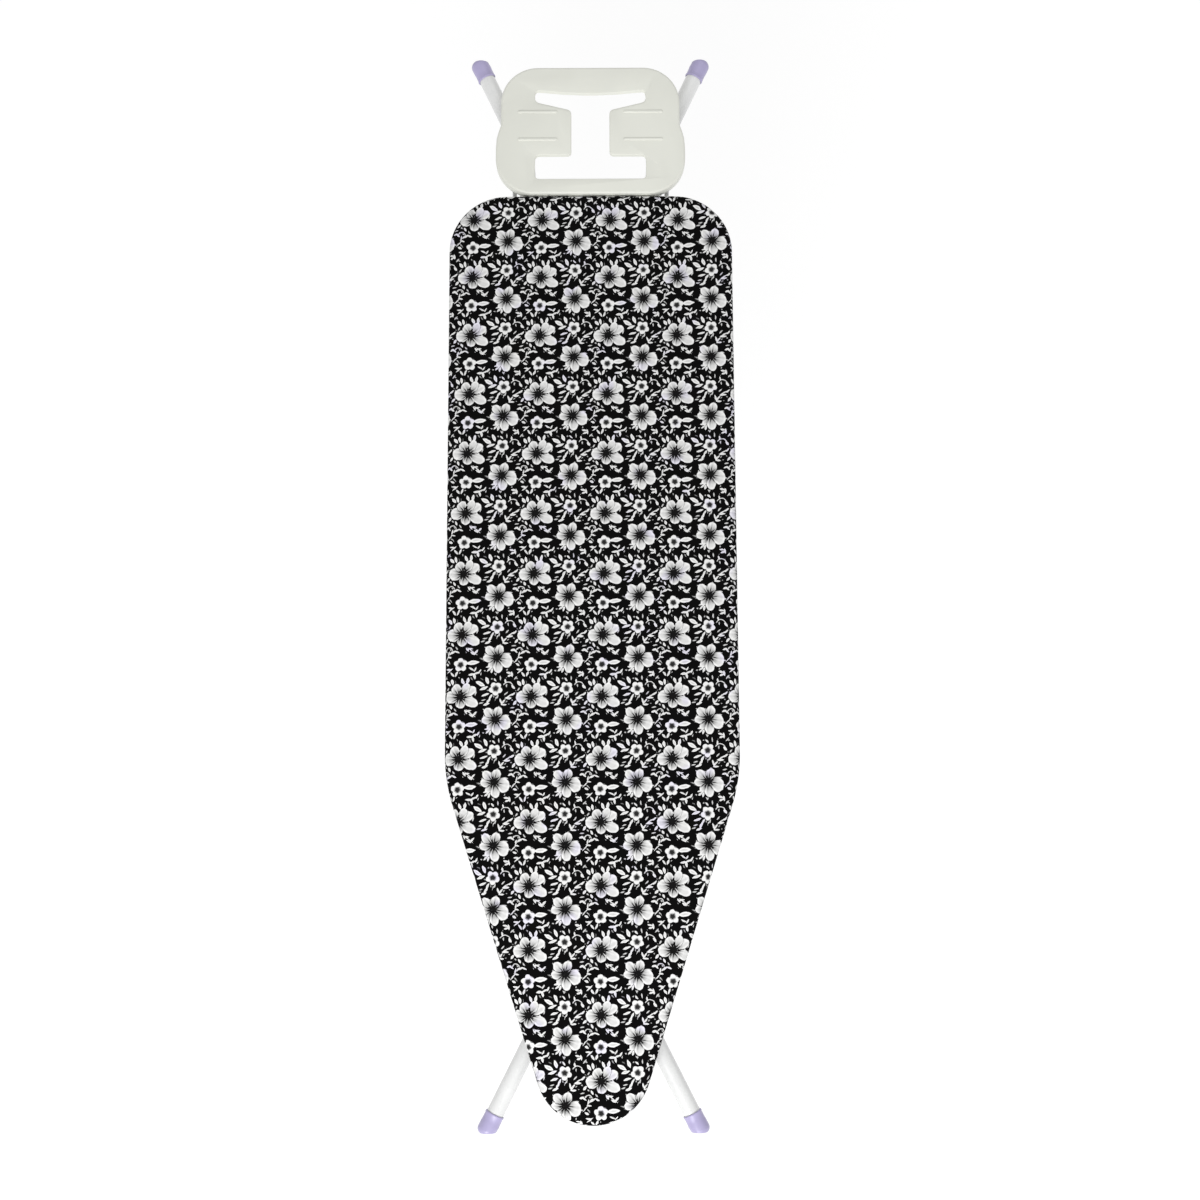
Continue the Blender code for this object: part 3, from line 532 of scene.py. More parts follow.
# ---- the printed cotton ----------------------------------------------------------------------
# All measures of the print are in millimetres. Each petal or leaf is (x, y, half length, half width,
# angle in degrees), from the eye of its own flower. Longer lists no longer fit Cycles' node stack.
REPEAT = (91.3, 80.2)
PRINT_ORIGIN = (9.9, 313.7)
FLOWER_PLACES = {"bell": (0.0, 0.0), "pansy": (-45.2, -29.5), "bud": (-45.6, 10.3),
                 "star": (-0.4, -38.7)}
PETALS = {
    "bell": [(0.0, 0.0, 6.0, 5.6, 0), (11.6, 7.4, 9.6, 6.4, 18), (7.2, 11.0, 7.2, 5.2, 72),
             (14.2, -6.9, 9.6, 6.4, -22), (0.6, -8.8, 6.4, 6.3, 90), (-11.2, -0.6, 8.2, 8.2, 0),
             (-5.2, 9.8, 7.0, 5.6, 62)],
    "pansy": [(0.0, 0.0, 6.0, 5.6, 0), (-5.4, -7.4, 7.0, 4.6, 50), (1.4, -11.2, 9.0, 6.2, 100),
              (-9.8, -0.6, 8.0, 5.6, 0), (-8.6, 8.6, 7.4, 5.8, 135), (2.8, 9.6, 7.2, 6.0, 70),
              (12.2, -3.6, 9.8, 7.8, 98)],
}
LEAVES = {
    "bell": [(-15.3, 17.0, 3.9, 1.9, -52), (-10.4, 18.6, 4.0, 1.6, 100), (2.9, 20.0, 4.2, 1.7, 112),
             (9.4, 20.6, 4.4, 1.7, 80), (-20.4, -7.9, 3.3, 1.4, 52), (-11.5, -13.2, 2.9, 1.3, -62),
             (14.0, -21.0, 8.4, 0.6, -38), (11.2, -18.3, 3.8, 1.0, 5), (7.7, -19.1, 3.2, 1.1, -55),
             (14.9, -24.0, 3.6, 1.1, -30), (19.4, -21.7, 3.4, 1.1, 45)],
    "pansy": [(-10.0, -12.0, 3.8, 1.1, 12), (-9.4, -15.5, 3.8, 1.1, 40), (-6.1, -16.7, 3.4, 1.3, 75),
              (25.5, -3.3, 5.4, 0.6, 47), (30.0, 0.2, 3.2, 0.9, -10), (28.8, 4.4, 3.4, 0.9, 80),
              (32.4, 6.2, 3.2, 1.0, 45), (27.1, -9.0, 2.8, 1.3, -25), (15.9, -19.7, 3.2, 1.2, -10),
              (17.1, -23.4, 3.0, 1.2, 20), (20.1, -21.6, 3.6, 1.2, 100)],
    "bud": [(-20.0, 6.4, 6.4, 2.4, -29), (-11.2, 10.8, 5.0, 2.0, -68), (-15.3, 0.6, 5.8, 1.6, 20),
            (-1.0, 11.6, 2.8, 1.0, -48), (22.4, 2.2, 3.2, 1.5, -50), (12.4, 9.9, 2.8, 1.0, 100),
            (18.0, -9.2, 7.4, 0.7, 30), (16.5, -12.3, 4.4, 1.2, 5),
            (23.0, -6.8, 3.2, 1.0, 45), (7.1, -16.4, 4.2, 1.1, -72), (10.0, -17.0, 4.4, 1.0, 50),
            (10.8, -20.8, 3.8, 1.1, 0), (-13.2, -7.8, 5.2, 1.3, 18),
            (-6.4, -10.4, 4.0, 1.2, 58), (-8.8, -15.5, 3.8, 1.3, 55), (-11.6, -19.9, 4.2, 1.3, 20)],
    "star": [(15.5, 2.8, 8.4, 2.8, 6), (-5.0, -12.0, 3.9, 1.2, 68), (-13.9, -8.0, 5.2, 0.8, 40),
             (-15.4, -6.4, 3.8, 1.0, -5), (-10.2, -12.7, 3.7, 1.2, -53), (14.2, -5.6, 4.0, 0.9, -28),
             (19.1, -6.2, 3.0, 0.9, 60), (14.4, -12.8, 4.4, 1.4, 5), (18.3, -15.2, 3.8, 1.4, -80),
             (20.6, -11.0, 4.0, 1.0, 25), (25.0, -8.8, 3.2, 1.0, 60),
             (-24.0, 19.1, 3.0, 1.2, 20), (-20.8, 17.7, 3.2, 1.0, -40),
             (-9.8, 16.2, 3.6, 1.0, 35), (-5.0, 16.6, 3.4, 1.0, -25)],
}
CURLS = {"bud": (15.9, 2.2, 6.4, 20.0), "star": (-15.6, 17.6, 4.5, 0.0)}    # x, y, radius, tilt
SMALL_TURN = {"bud": 0.9, "star": 2.2}
SPRIG_SPACING = 9.4
SPRIG_SIZE = (3.0, 0.8)
THREAD_WIDTH = 0.42


def petal_mask(paint, place, petals):
    """The union of a flower's petals, each drawn with a dark line round it over the ones below."""
    covered, nearest = None, None
    for x, y, half_length, half_width, angle in petals:
        local = paint.place(place, (x, y), radians(angle), (half_length, half_width))
        reach = paint.vector("LENGTH", local)
        inside = paint.ramp(reach, 0.95, 1.0, 1.0, 0.0)
        if covered is None:
            covered, nearest = inside, reach
        else:
            gap = paint.ramp(reach, 1.0, 1.09, 0.15, 1.0)
            covered = paint.math("MAXIMUM", inside, paint.math("MULTIPLY", covered, gap))
            nearest = paint.math("MINIMUM", nearest, reach)
    return covered, nearest


def polar(paint, place):
    """The distance from a flower's eye and the angle round it."""
    parts = paint.node("ShaderNodeSeparateXYZ", place)
    angle = paint.math("ARCTAN2", parts.outputs[1], parts.outputs[0])
    return paint.vector("LENGTH", place), angle


def veins(paint, angle, first, second):
    """Fine radial lines of two interleaved counts, from -1 to 1."""
    one = paint.math("SINE", paint.math("MULTIPLY", angle, first))
    two = paint.math("SINE", paint.math("MULTIPLY_ADD", angle, second, 1.3))
    return paint.math("MULTIPLY_ADD", one, 0.55, paint.math("MULTIPLY", two, 0.45))


def large_flower(paint, place, petals):
    """Overlapping petals with pale rims, streaked from a ragged dark eye outwards."""
    covered, nearest = petal_mask(paint, place, petals)
    radius, angle = polar(paint, place)
    lines = veins(paint, angle, 13.0, 21.0)
    eye = paint.ramp(paint.math("MULTIPLY_ADD", lines, 3.0, radius), 6.2, 8.2, 0.01, 0.62)
    shade = paint.math("ADD", eye, paint.ramp(radius, 6.0, 14.0, 0.0, 0.30))
    rim = paint.ramp(nearest, 0.50, 0.90, 0.82, 1.0)
    depth = paint.ramp(radius, 6.0, 15.0, 0.42, 0.10)
    fine = paint.math("MULTIPLY_ADD", lines, depth, paint.math("SUBTRACT", 1.0, depth))
    value = paint.math("MULTIPLY", paint.math("MULTIPLY", shade, rim), fine)
    return covered, value


def small_flower(paint, place, turn):
    """Five rounded petals round a dark eye."""
    radius, angle = polar(paint, place)
    wave = paint.math("COSINE", paint.math("MULTIPLY_ADD", angle, 2.5, turn))
    lobes = paint.math("ABSOLUTE", wave)
    edge = paint.math("MULTIPLY_ADD", lobes, 2.6, 6.4)
    covered = paint.ramp(paint.math("SUBTRACT", radius, edge), -0.30, 0.20, 1.0, 0.0)
    lines = veins(paint, angle, 15.0, 25.0)
    reach = paint.math("MULTIPLY_ADD", lobes, 0.7, paint.math("MULTIPLY_ADD", lines, 0.8, radius))
    value = paint.ramp(reach, 3.0, 5.6, 0.02, 0.82)
    return covered, value


def lens_reach(paint, local):
    """From 0 on a leaf's axis to 1 on its edge. A leaf is the lens where two circles of radius 5
    overlap: their centres lie 4 to either side of its axis, which they cross at 3 and -3."""
    reach = paint.vector("DISTANCE", paint.vector("ABSOLUTE", local), (0.0, -4.0, 0.0))
    return paint.math("SUBTRACT", reach, 4.0)


def leaf_reach(paint, place, leaves):
    """How near the closest leaf's edge is."""
    nearest = None
    for x, y, half_length, half_width, angle in leaves:
        local = paint.place(place, (x, y), radians(angle), (half_length / 3, half_width))
        reach = lens_reach(paint, local)
        nearest = reach if nearest is None else paint.math("MINIMUM", nearest, reach)
    return nearest


def sprig_reach(paint, place):
    """How near the closest of the small scattered leaves' edge is."""
    cells = paint.node("ShaderNodeTexVoronoi", place, voronoi_dimensions="2D")
    cells.inputs["Scale"].default_value = 1 / SPRIG_SPACING
    away = paint.vector("SUBTRACT", place, cells.outputs["Position"])
    turned = paint.node("ShaderNodeVectorRotate", away, rotation_type="Z_AXIS")
    paint.feed(turned.inputs["Angle"], paint.math("MULTIPLY", cells.outputs["Color"], 6 * pi))
    half_length, half_width = SPRIG_SIZE
    local = paint.vector("MULTIPLY", turned.outputs[0], (3 / half_length, 1 / half_width, 0.0))
    return lens_reach(paint, local)


def curl_mask(paint, place, x, y, radius, tilt):
    """A thin stem that bends over: the upper part of a circle."""
    away = paint.vector("SUBTRACT", place, (x, y, 0.0))
    off = paint.math("ABSOLUTE", paint.math("SUBTRACT", paint.vector("LENGTH", away), radius))
    side = paint.vector("DOT_PRODUCT", away, (sin(radians(tilt)), cos(radians(tilt)), 0.0))
    return paint.math("MULTIPLY", paint.ramp(off, 0.30, 0.65, 1.0, 0.0), paint.ramp(side, 0.0, 1.0))


def print_ink(paint, flat):
    """The whole print on the flat cloth: 0 on the bare ground, 1 where the ink is whitest."""
    wobble = paint.node("ShaderNodeTexNoise", flat)
    wobble.inputs["Scale"].default_value = 0.20
    wobble.inputs["Detail"].default_value = 1.0
    centred = paint.vector("SUBTRACT", wobble.outputs["Color"], (0.5, 0.5, 0.5))
    drawn = paint.vector("ADD", flat, paint.vector("MULTIPLY", centred, (1.8, 1.8, 0.0)))
    half = (REPEAT[0] / 2, REPEAT[1] / 2, 1.0)
    covered, value, leaves, stems, home = None, None, None, None, None
    for kind, (x, y) in FLOWER_PLACES.items():
        origin = (PRINT_ORIGIN[0] + x, PRINT_ORIGIN[1] + y, 0.0)
        from_flower = paint.vector("SUBTRACT", drawn, origin)
        place = paint.vector("WRAP", from_flower, half, tuple(-h for h in half))
        home = home or place
        if kind in PETALS:
            mask, tone = large_flower(paint, place, PETALS[kind])
        else:
            mask, tone = small_flower(paint, place, SMALL_TURN[kind])
        if covered is None:
            covered, value = mask, paint.math("MULTIPLY", mask, tone)
        else:
            below = paint.math("MULTIPLY", value, paint.math("SUBTRACT", 1.0, mask))
            value = paint.math("MULTIPLY_ADD", mask, tone, below)
            covered = paint.math("MAXIMUM", covered, mask)
        reach = leaf_reach(paint, place, LEAVES[kind])
        leaves = reach if leaves is None else paint.math("MINIMUM", leaves, reach)
        if kind in CURLS:
            line = curl_mask(paint, place, *CURLS[kind])
            stems = line if stems is None else paint.math("MAXIMUM", stems, line)
    foliage = paint.ramp(leaves, 0.94, 1.12, 1.0, 0.0)
    leaf_tone = paint.ramp(leaves, 0.1, 0.8, 0.60, 0.90)
    greens = paint.math("MAXIMUM", paint.math("MULTIPLY", foliage, leaf_tone),
                        paint.math("MULTIPLY", stems, 0.75))
    sprigs = paint.ramp(sprig_reach(paint, home), 0.94, 1.15, 0.60, 0.0)
    greens = paint.math("MAXIMUM", greens, paint.math("MULTIPLY", sprigs, paint.ramp(leaves, 2.2, 3.4)))
    bare = paint.math("SUBTRACT", 1.0, covered)
    return paint.math("MULTIPLY_ADD", greens, bare, value, clamp=True)


def plain_weave(paint, flat):
    """The height of a plain weave: warp and weft in turn on top, as on a chequerboard."""
    threads = paint.vector("MULTIPLY", flat, (1 / THREAD_WIDTH, 1 / THREAD_WIDTH, 0.0))
    parts = paint.node("ShaderNodeSeparateXYZ", threads)
    warp, weft = [paint.math("ABSOLUTE", paint.math("SINE", paint.math("MULTIPLY", parts.outputs[k], pi)))
                  for k in (0, 1)]
    over = paint.node("ShaderNodeTexChecker", threads)
    over.inputs["Scale"].default_value = 1.0
    weave = paint.node("ShaderNodeMix", data_type="FLOAT")
    paint.feed(weave.inputs["Factor"], over.outputs["Fac"])
    paint.feed(weave.inputs["A"], warp)
    paint.feed(weave.inputs["B"], weft)
    return weave.outputs[0]


def hem_stitches(paint):
    """Short dashes of thread along the seam of the casing."""
    hem = paint.node("ShaderNodeUVMap", uv_map="hem").outputs[0]
    run = paint.node("ShaderNodeSeparateXYZ", hem)
    wave = paint.math("SINE", paint.math("MULTIPLY", run.outputs[0], 2 * pi / STITCH_LENGTH))
    dash = paint.ramp(wave, -0.35, 0.1)
    away = paint.math("ABSOLUTE", paint.math("SUBTRACT", run.outputs[1], STITCH_RUN))
    return paint.math("MULTIPLY", dash, paint.ramp(away, 0.0003, 0.0007, 1.0, 0.0))


def printed_cotton(name):
    """Black plain-weave cotton with a white flower print."""
    paint = Paint(name)
    flat = paint.scaled(paint.node("ShaderNodeUVMap", uv_map="cloth").outputs[0], 1000.0)
    ink = print_ink(paint, flat)
    patch = paint.ramp(paint.noise(flat, 0.032, 1.0), 0.55, 0.70)
    white = paint.mix(patch, (1.0, 1.0, 0.99), (0.94, 0.92, 1.03))
    thread = paint.noise(paint.vector("MULTIPLY", flat, (1.0, 6.0, 1.0)), 1.4, 3.0)
    ground = paint.mix(paint.ramp(thread, 0.35, 0.7), (0.0022, 0.0021, 0.0023), (0.0050, 0.0046, 0.0046))
    wear = paint.ramp(paint.noise(flat, 2.2, 3.0), 0.25, 0.6, 0.90, 1.0)
    color = paint.mix(paint.math("MULTIPLY", ink, wear), ground, white)
    weave = plain_weave(paint, flat)
    stitch = hem_stitches(paint)
    color = paint.mix(stitch, color, (0.030, 0.029, 0.030))
    normal = paint.bump(weave, 0.35, 0.00009)
    normal = paint.bump(paint.noise(flat, 0.06, 3.0), 0.25, 0.0012, normal)
    normal = paint.bump(stitch, 0.8, 0.0006, normal)
    rough = paint.ramp(ink, 0.0, 0.8, 0.92, 0.78)
    return paint.surface(Base_Color=color, Roughness=rough, Normal=normal, Specular_IOR_Level=0.04)


# ---- the cover -------------------------------------------------------------------------------
SHOULDER = 0.0085                # how far in from the edge the top starts to fall away
UNDER_Z = 0.0266                 # the cloth under the rim tube
HEM_INSET = 0.0235               # middle of the casing round the elastic
HEM_Z = 0.0277
CASING_RADIUS, CORD_RADIUS = 0.0021, 0.0012
CLOTH_THICKNESS = 0.0005
STITCH_RUN = 0.0495              # along the cloth from the top's edge to the casing's seam
STITCH_LENGTH = 0.0032
GATHER_LENGTH, GATHER_HEIGHT = 0.0115, 0.0030
EDGE_STEP = 0.0034               # between the points along the board's edge
TOP_RINGS = 15
TOP_SINK = 0.0003                # the top's middle under the highest point of its humps


def cover_profile():
    """(inset, height, share of the gathers) from the top's edge round the rim to the casing."""
    rows = []
    steps = 7
    for i in range(steps + 1):
        turn = pi / 2 * (1 - i / steps)
        rows.append((SHOULDER - SHOULDER * cos(turn), COVER_TOP_Z - 0.0095 + 0.0095 * sin(turn), 0.0))
    rows += [(0.0, 0.0400, 0.0), (0.0, 0.0366, 0.0), (0.0003, 0.0332, 0.02)]
    for turn in (radians(a) for a in (15, 35, 55, 75)):
        rows.append((0.0085 - 0.0082 * cos(turn), 0.0332 - 0.0066 * sin(turn), 0.04))
    rows += [(0.0100, UNDER_Z, 0.10), (0.0130, UNDER_Z, 0.28), (0.0155, UNDER_Z + 0.0001, 0.50),
             (0.0180, UNDER_Z + 0.0001, 0.75), (0.0200, UNDER_Z, 0.92)]
    for k in range(11):
        turn = radians(-118 + 31 * k)
        rows.append((HEM_INSET + CASING_RADIUS * cos(turn), HEM_Z + CASING_RADIUS * sin(turn), 1.0))
    return rows


def gathers(run, bent):
    """How high the slack cloth stands at the hem: tight small folds where the edge bends."""
    fullness = 0.25 + 0.75 * bent
    drift = 2.2 * sin(2 * pi * run / 0.083) + 1.1 * sin(run * 61.0)
    wave = 0.5 + 0.5 * sin(2 * pi * run / GATHER_LENGTH + drift)
    lift = noise.noise(Vector((run * 23.0, 4.2, 0.7))) * 0.5 + 0.5
    return 0.0004 + GATHER_HEIGHT * fullness * wave * (0.45 + 0.55 * lift)


def cloth_skew(y):
    """How far the print has run to the right: the cloth was pulled on askew behind the nose."""
    start, softness, slope = -0.274, 0.06, 0.0216
    past = y - start
    return slope * (past + hypot(past, softness)) / 2


def bend_share(loop, index):
    """From 0 on a straight edge to 1 on the nose and the rear corners."""
    normals = [loop[(index + k) % len(loop)][1] for k in range(-6, 7)]
    turned = sum(ahead.angle(here) for here, ahead in zip(normals, normals[1:]))
    return min(1.0, turned / 0.30)


def swell(x, y):
    """Slight hollows and humps of the padded top."""
    broad = 0.00035 * noise.noise(Vector((x * 11.0, y * 9.0, 0.3)))
    return broad + 0.0002 * noise.noise(Vector((x * 31.0, y * 27.0, 5.1)))


def cover_points(loop, lift):
    """Rings of points from the board's middle line, over the edge and down to the casing. Each is
    (point, its mark on the flat cloth, (run along the hem, run down the cloth)). With the list
    comes the length of cloth between the top's edge and the last ring."""
    points = []
    for r in range(TOP_RINGS):
        share = 1.0 - r / TOP_RINGS
        for point, normal, run in loop:
            spot = (point - normal * SHOULDER).lerp(spine_point(point), share ** 1.15)
            height = COVER_TOP_Z - TOP_SINK + swell(spot.x, spot.y) * min(1.0, share * 4.0)
            points.append(((spot.x, spot.y, height), spot, (run, -1.0)))
    travelled, previous = 0.0, None
    for inset, height, share in cover_profile():
        if previous:
            travelled += hypot(inset - previous[0], height - previous[1])
        previous = (inset, height)
        drop = TOP_SINK if height > 0.050 else 0.0
        for (point, normal, run), gather in zip(loop, lift):
            spot = point - normal * inset
            mark = point - normal * SHOULDER + normal * travelled
            points.append(((spot.x, spot.y, height - drop + gather * share), mark, (run, travelled)))
    return points, travelled


def cover_mesh(points, count, whole_run):
    """The cover's surface. Its map "cloth" places the print and its map "hem" the stitches."""
    mesh = bpy.data.meshes.new("printed_cover")
    mesh.from_pydata([place for place, mark, hem in points], [], loft_faces(len(points) // count, count))
    cloth_map = mesh.uv_layers.new(name="cloth")
    hem_map = mesh.uv_layers.new(name="hem")
    for polygon in mesh.polygons:
        corners = [points[mesh.loops[k].vertex_index] for k in polygon.loop_indices]
        runs = [hem[0] for place, mark, hem in corners]
        on_seam = max(runs) - min(runs) > 0.5
        for k, (place, mark, (run, down)) in zip(polygon.loop_indices, corners):
            cloth_map.data[k].uv = (mark.x - cloth_skew(mark.y), mark.y)
            if on_seam and run < 0.5:
                run += whole_run
            hem_map.data[k].uv = (run, down)
    work = bmesh.new()
    work.from_mesh(mesh)
    work.verts.ensure_lookup_table()
    bmesh.ops.remove_doubles(work, verts=work.verts[:count], dist=1e-5)
    bmesh.ops.recalc_face_normals(work, faces=work.faces)
    work.to_mesh(mesh)
    work.free()
    mesh.shade_smooth()
    return mesh


def thickened(piece, thickness, offset):
    """Give a surface its thickness, to both sides or, with an offset of -1, inwards only."""
    step = piece.modifiers.new("thickness", "SOLIDIFY")
    step.thickness = thickness
    step.offset = offset
    return evaluated(piece)


def make_cover():
    loop = edge_frame(EDGE_STEP)
    lift = [gathers(run, bend_share(loop, i)) for i, (point, normal, run) in enumerate(loop)]
    points, travelled = cover_points(loop, lift)
    mesh = cover_mesh(points, len(loop), loop[-1][2] + EDGE_STEP)
    cover = thickened(link("printed_cover", mesh), CLOTH_THICKNESS, -1.0)
    finish(cover, "deck", printed_cotton("printed_cotton"), "cover_cotton", "cover")
    path = [(*(point - normal * HEM_INSET), HEM_Z + gather)
            for (point, normal, run), gather in zip(loop, lift)]
    cord = rod("hem_cord", path[::2], CORD_RADIUS, 10, closed=True)
    finish(cord, "deck", braided_elastic("braided_elastic"), "hem_elastic", "hem_elastic")


def make_pad():
    """Foam: a closed pad, crowned by a little, whose edge is rounded over."""
    loop = edge_frame(0.008)
    inset, radius = 0.0042, 0.0027
    round_start = inset + radius
    middle = (PAD_LOW_Z + PAD_HIGH_Z) / 2
    rings = []
    for share in (0.0, 0.25, 0.5, 0.75, 0.92):
        ring = []
        for point, normal, run in loop:
            spot = spine_point(point).lerp(point - normal * round_start, share)
            dimple = 0.00018 * noise.noise(Vector((spot.x * 40, spot.y * 40, 2.0)))
            ring.append((spot.x, spot.y, PAD_HIGH_Z - 0.0002 * share + dimple - 0.0001))
        rings.append(ring)
    for i in range(9):
        turn = pi / 2 - pi * i / 8
        away = round_start - radius * cos(turn)
        height = middle + 0.0028 * sin(turn)
        rings.append([(*(point - normal * away), height) for point, normal, run in loop])
    for share in (0.9, 0.6, 0.3, 0.0):
        rings.append([(*spine_point(point).lerp(point - normal * round_start, share), PAD_LOW_Z + 0.0001)
                      for point, normal, run in loop])
    pad = loft("foam_padding", rings, weld=1e-6, sharp=None)
    finish(pad, "deck", plain_foam("open_cell_foam"), "pad_foam", "foam_pad")


# ---- the deck's metalwork --------------------------------------------------------------------
MESH_LONG, MESH_SHORT, STRAND = 0.0200, 0.0096, 0.0014
STRAND_TILT = 0.00025            # how far the strands' edges stand out of the sheet


def inside(outline, x, y):
    crossings = False
    for (x0, y0), (x1, y1) in zip(outline, outline[1:] + outline[:1]):
        if (y0 > y) != (y1 > y) and x < (x1 - x0) * (y - y0) / (y1 - y0) + x0:
            crossings = not crossings
    return crossings


def add_diamond(work, x, y, z, corners):
    """One opening of the sheet: the four half strands between it and its neighbours."""
    reach_short = 1.0 - 1.55 * STRAND / MESH_SHORT
    reach_long = 1.0 - 2.1 * STRAND / MESH_LONG * 1.55
    outer, inner = [], []
    for (cx, cy), tilt in zip(corners, (STRAND_TILT, 0.0, -STRAND_TILT, 0.0)):
        outer.append(work.verts.new((cx, cy, z - tilt)))
        inner.append(work.verts.new((x + (cx - x) * reach_short, y + (cy - y) * reach_long, z + tilt)))
    for i in range(4):
        j = (i + 1) % 4
        work.faces.new((outer[i], outer[j], inner[j], inner[i]))


def make_expanded_sheet(enamel):
    """Expanded sheet: staggered diamond openings between twisted strands, and a plain border."""
    limit = [tuple(point - normal * 0.019) for point, normal, run in edge_frame(0.004)]
    xs, ys = zip(*limit)
    half_long, half_short = MESH_LONG / 2, MESH_SHORT / 2
    middle_z = (SHEET_LOW_Z + SHEET_HIGH_Z) / 2
    work = bmesh.new()
    row = 0
    x = min(xs)
    while x < max(xs):
        y = min(ys) + (half_long if row % 2 else 0.0)
        while y < max(ys):
            corners = [(x - half_short, y), (x, y + half_long), (x + half_short, y), (x, y - half_long)]
            if all(inside(limit, cx, cy) for cx, cy in corners):
                add_diamond(work, x, y, middle_z, corners)
            y += MESH_LONG
        x += half_short
        row += 1
    bmesh.ops.remove_doubles(work, verts=work.verts, dist=1e-5)
    bmesh.ops.recalc_face_normals(work, faces=work.faces)
    mesh = bpy.data.meshes.new("expanded_sheet")
    work.to_mesh(mesh)
    work.free()
    sheet = thickened(link("expanded_sheet", mesh), 0.0005, 0.0)
    sheet.data.shade_flat()
    finish(sheet, "deck", enamel, "deck_enamel", "deck_sheet")
    loop = edge_frame(0.005)
    inner, outer = 0.0270, 0.0030
    rows = [(outer, SHEET_LOW_Z), (inner, SHEET_LOW_Z)]
    rows += [(inner, SHEET_HIGH_Z - 0.0001), (outer, SHEET_HIGH_Z)]
    rings = [[(*(point - normal * inset), z) for point, normal, run in loop] for inset, z in rows]
    finish(loft("sheet_border", rings, loop=True), "deck", enamel, "deck_enamel")


def weld_bead(name, center, radius, size, body, enamel):
    """A lumpy fillet of weld metal round a tube that runs along X, painted over."""
    turn = Vector((1, 0, 0)).to_track_quat("Z", "Y").to_matrix()
    steps = 48
    path, radii = [], []
    for i in range(steps):
        angle = 2 * pi * i / steps
        path.append(Vector(center) + turn @ Vector((radius * cos(angle), radius * sin(angle), 0.0)))
        radii.append(size * (1.0 + 0.22 * sin(angle * 19.0) + 0.12 * sin(angle * 7.0 + 1.0)))
    bead = loft(name, section_rings(path, radii, 10, closed=True), loop=True)
    return finish(bead, body, enamel, "deck_enamel" if body == "deck" else "leg_enamel")


def make_deck_metal(enamel, steel):
    path = [(*(point - normal * RIM_INSET), RIM_Z) for point, normal, run in edge_frame(0.006)]
    finish(rod("rim_ring", path, RIM_RADIUS, 24, closed=True), "deck", enamel, "deck_enamel", "rim_tube")
    seam = (0.0, REAR_EDGE_Y - RIM_INSET, RIM_Z)
    weld_bead("rim_seam", seam, RIM_RADIUS - 0.0001, 0.0006, "deck", enamel)
    spot_profile = [(0.0, 0.0), (0.0012, 0.0), (0.0022, 0.0003)]
    spot_profile += [(0.0026, 0.0005), (0.0026, 0.0009), (0.0, 0.0009)]
    for label in ("nose", "front", "middle", "hinge", "rear"):
        node = f"brace_{label}"
        finish(refined(node, 0.0005, 3), "deck", enamel, "deck_enamel", node)
        low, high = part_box(node)
        for side_name, side in SIDES:
            for k, y in enumerate((low[1] + 0.006, high[1] - 0.006)):
                center = (side * (high[0] - 0.004), y, low[2] - 0.0004)
                spot = lathe(f"{node}_spot_{side_name}_{k}", spot_profile, center, (0, 0, 1), 20)
                finish(spot, "deck", enamel, "deck_enamel")
    for label, side in SIDES:
        finish(refined(f"hinge_bracket_{label}"), "deck", enamel, "deck_enamel", f"hinge_bracket_{label}")
        push_cap(f"hinge_cap_{label}", side, "deck", steel)
        finish(refined(f"rail_{label}", 0.00025), "deck", steel, "rail_steel", f"rail_{label}")
    pin("hinge_pin", "hinge_rod", "deck", steel)


def push_cap(node, side, body, steel):
    """A push-on spring cap: a dished washer."""
    low, high, middle = box(node)
    outer = (high[2] - low[2]) / 2
    inner = 0.0043
    shares = [(inner, 0.35), (inner, 0.65), (inner + 0.0008, 0.95), (outer - 0.0011, 1.0),
              (outer - 0.0003, 0.85), (outer, 0.5), (outer, 0.05), (outer - 0.0004, 0.0),
              (outer - 0.0012, 0.25)]
    profile = [(radius, share * (high[0] - low[0])) for radius, share in shares]
    start = low[0] if side > 0 else high[0]
    cap = lathe(f"{node}_dish", profile, (start, middle[1], middle[2]), (side, 0, 0), 40, loop=True)
    return finish(cap, body, steel, "zinc_steel", node)


# ---- legs ------------------------------------------------------------------------------------
def leg_axis(x, flare_y, flare, toward, end_y):
    """A leg's axis from its upper end to its foot: straight, a bend, and the outward flare."""
    tangent = FLARE_BEND_RADIUS * tan(flare / 2)
    start_y = flare_y - tangent
    side = 1 if x > 0 else -1
    length = start_y + LEG_TOP_Y
    points = [(x, toward * (length * i / 12 - LEG_TOP_Y), LEG_Z) for i in range(13)]
    for i in range(1, 15):
        turn = flare * i / 14
        out = FLARE_BEND_RADIUS * (1 - cos(turn))
        points.append((x + side * out, toward * (start_y + FLARE_BEND_RADIUS * sin(turn)), LEG_Z))
    points.append((x + side * (end_y - flare_y) * tan(flare), toward * end_y, LEG_Z))
    return points


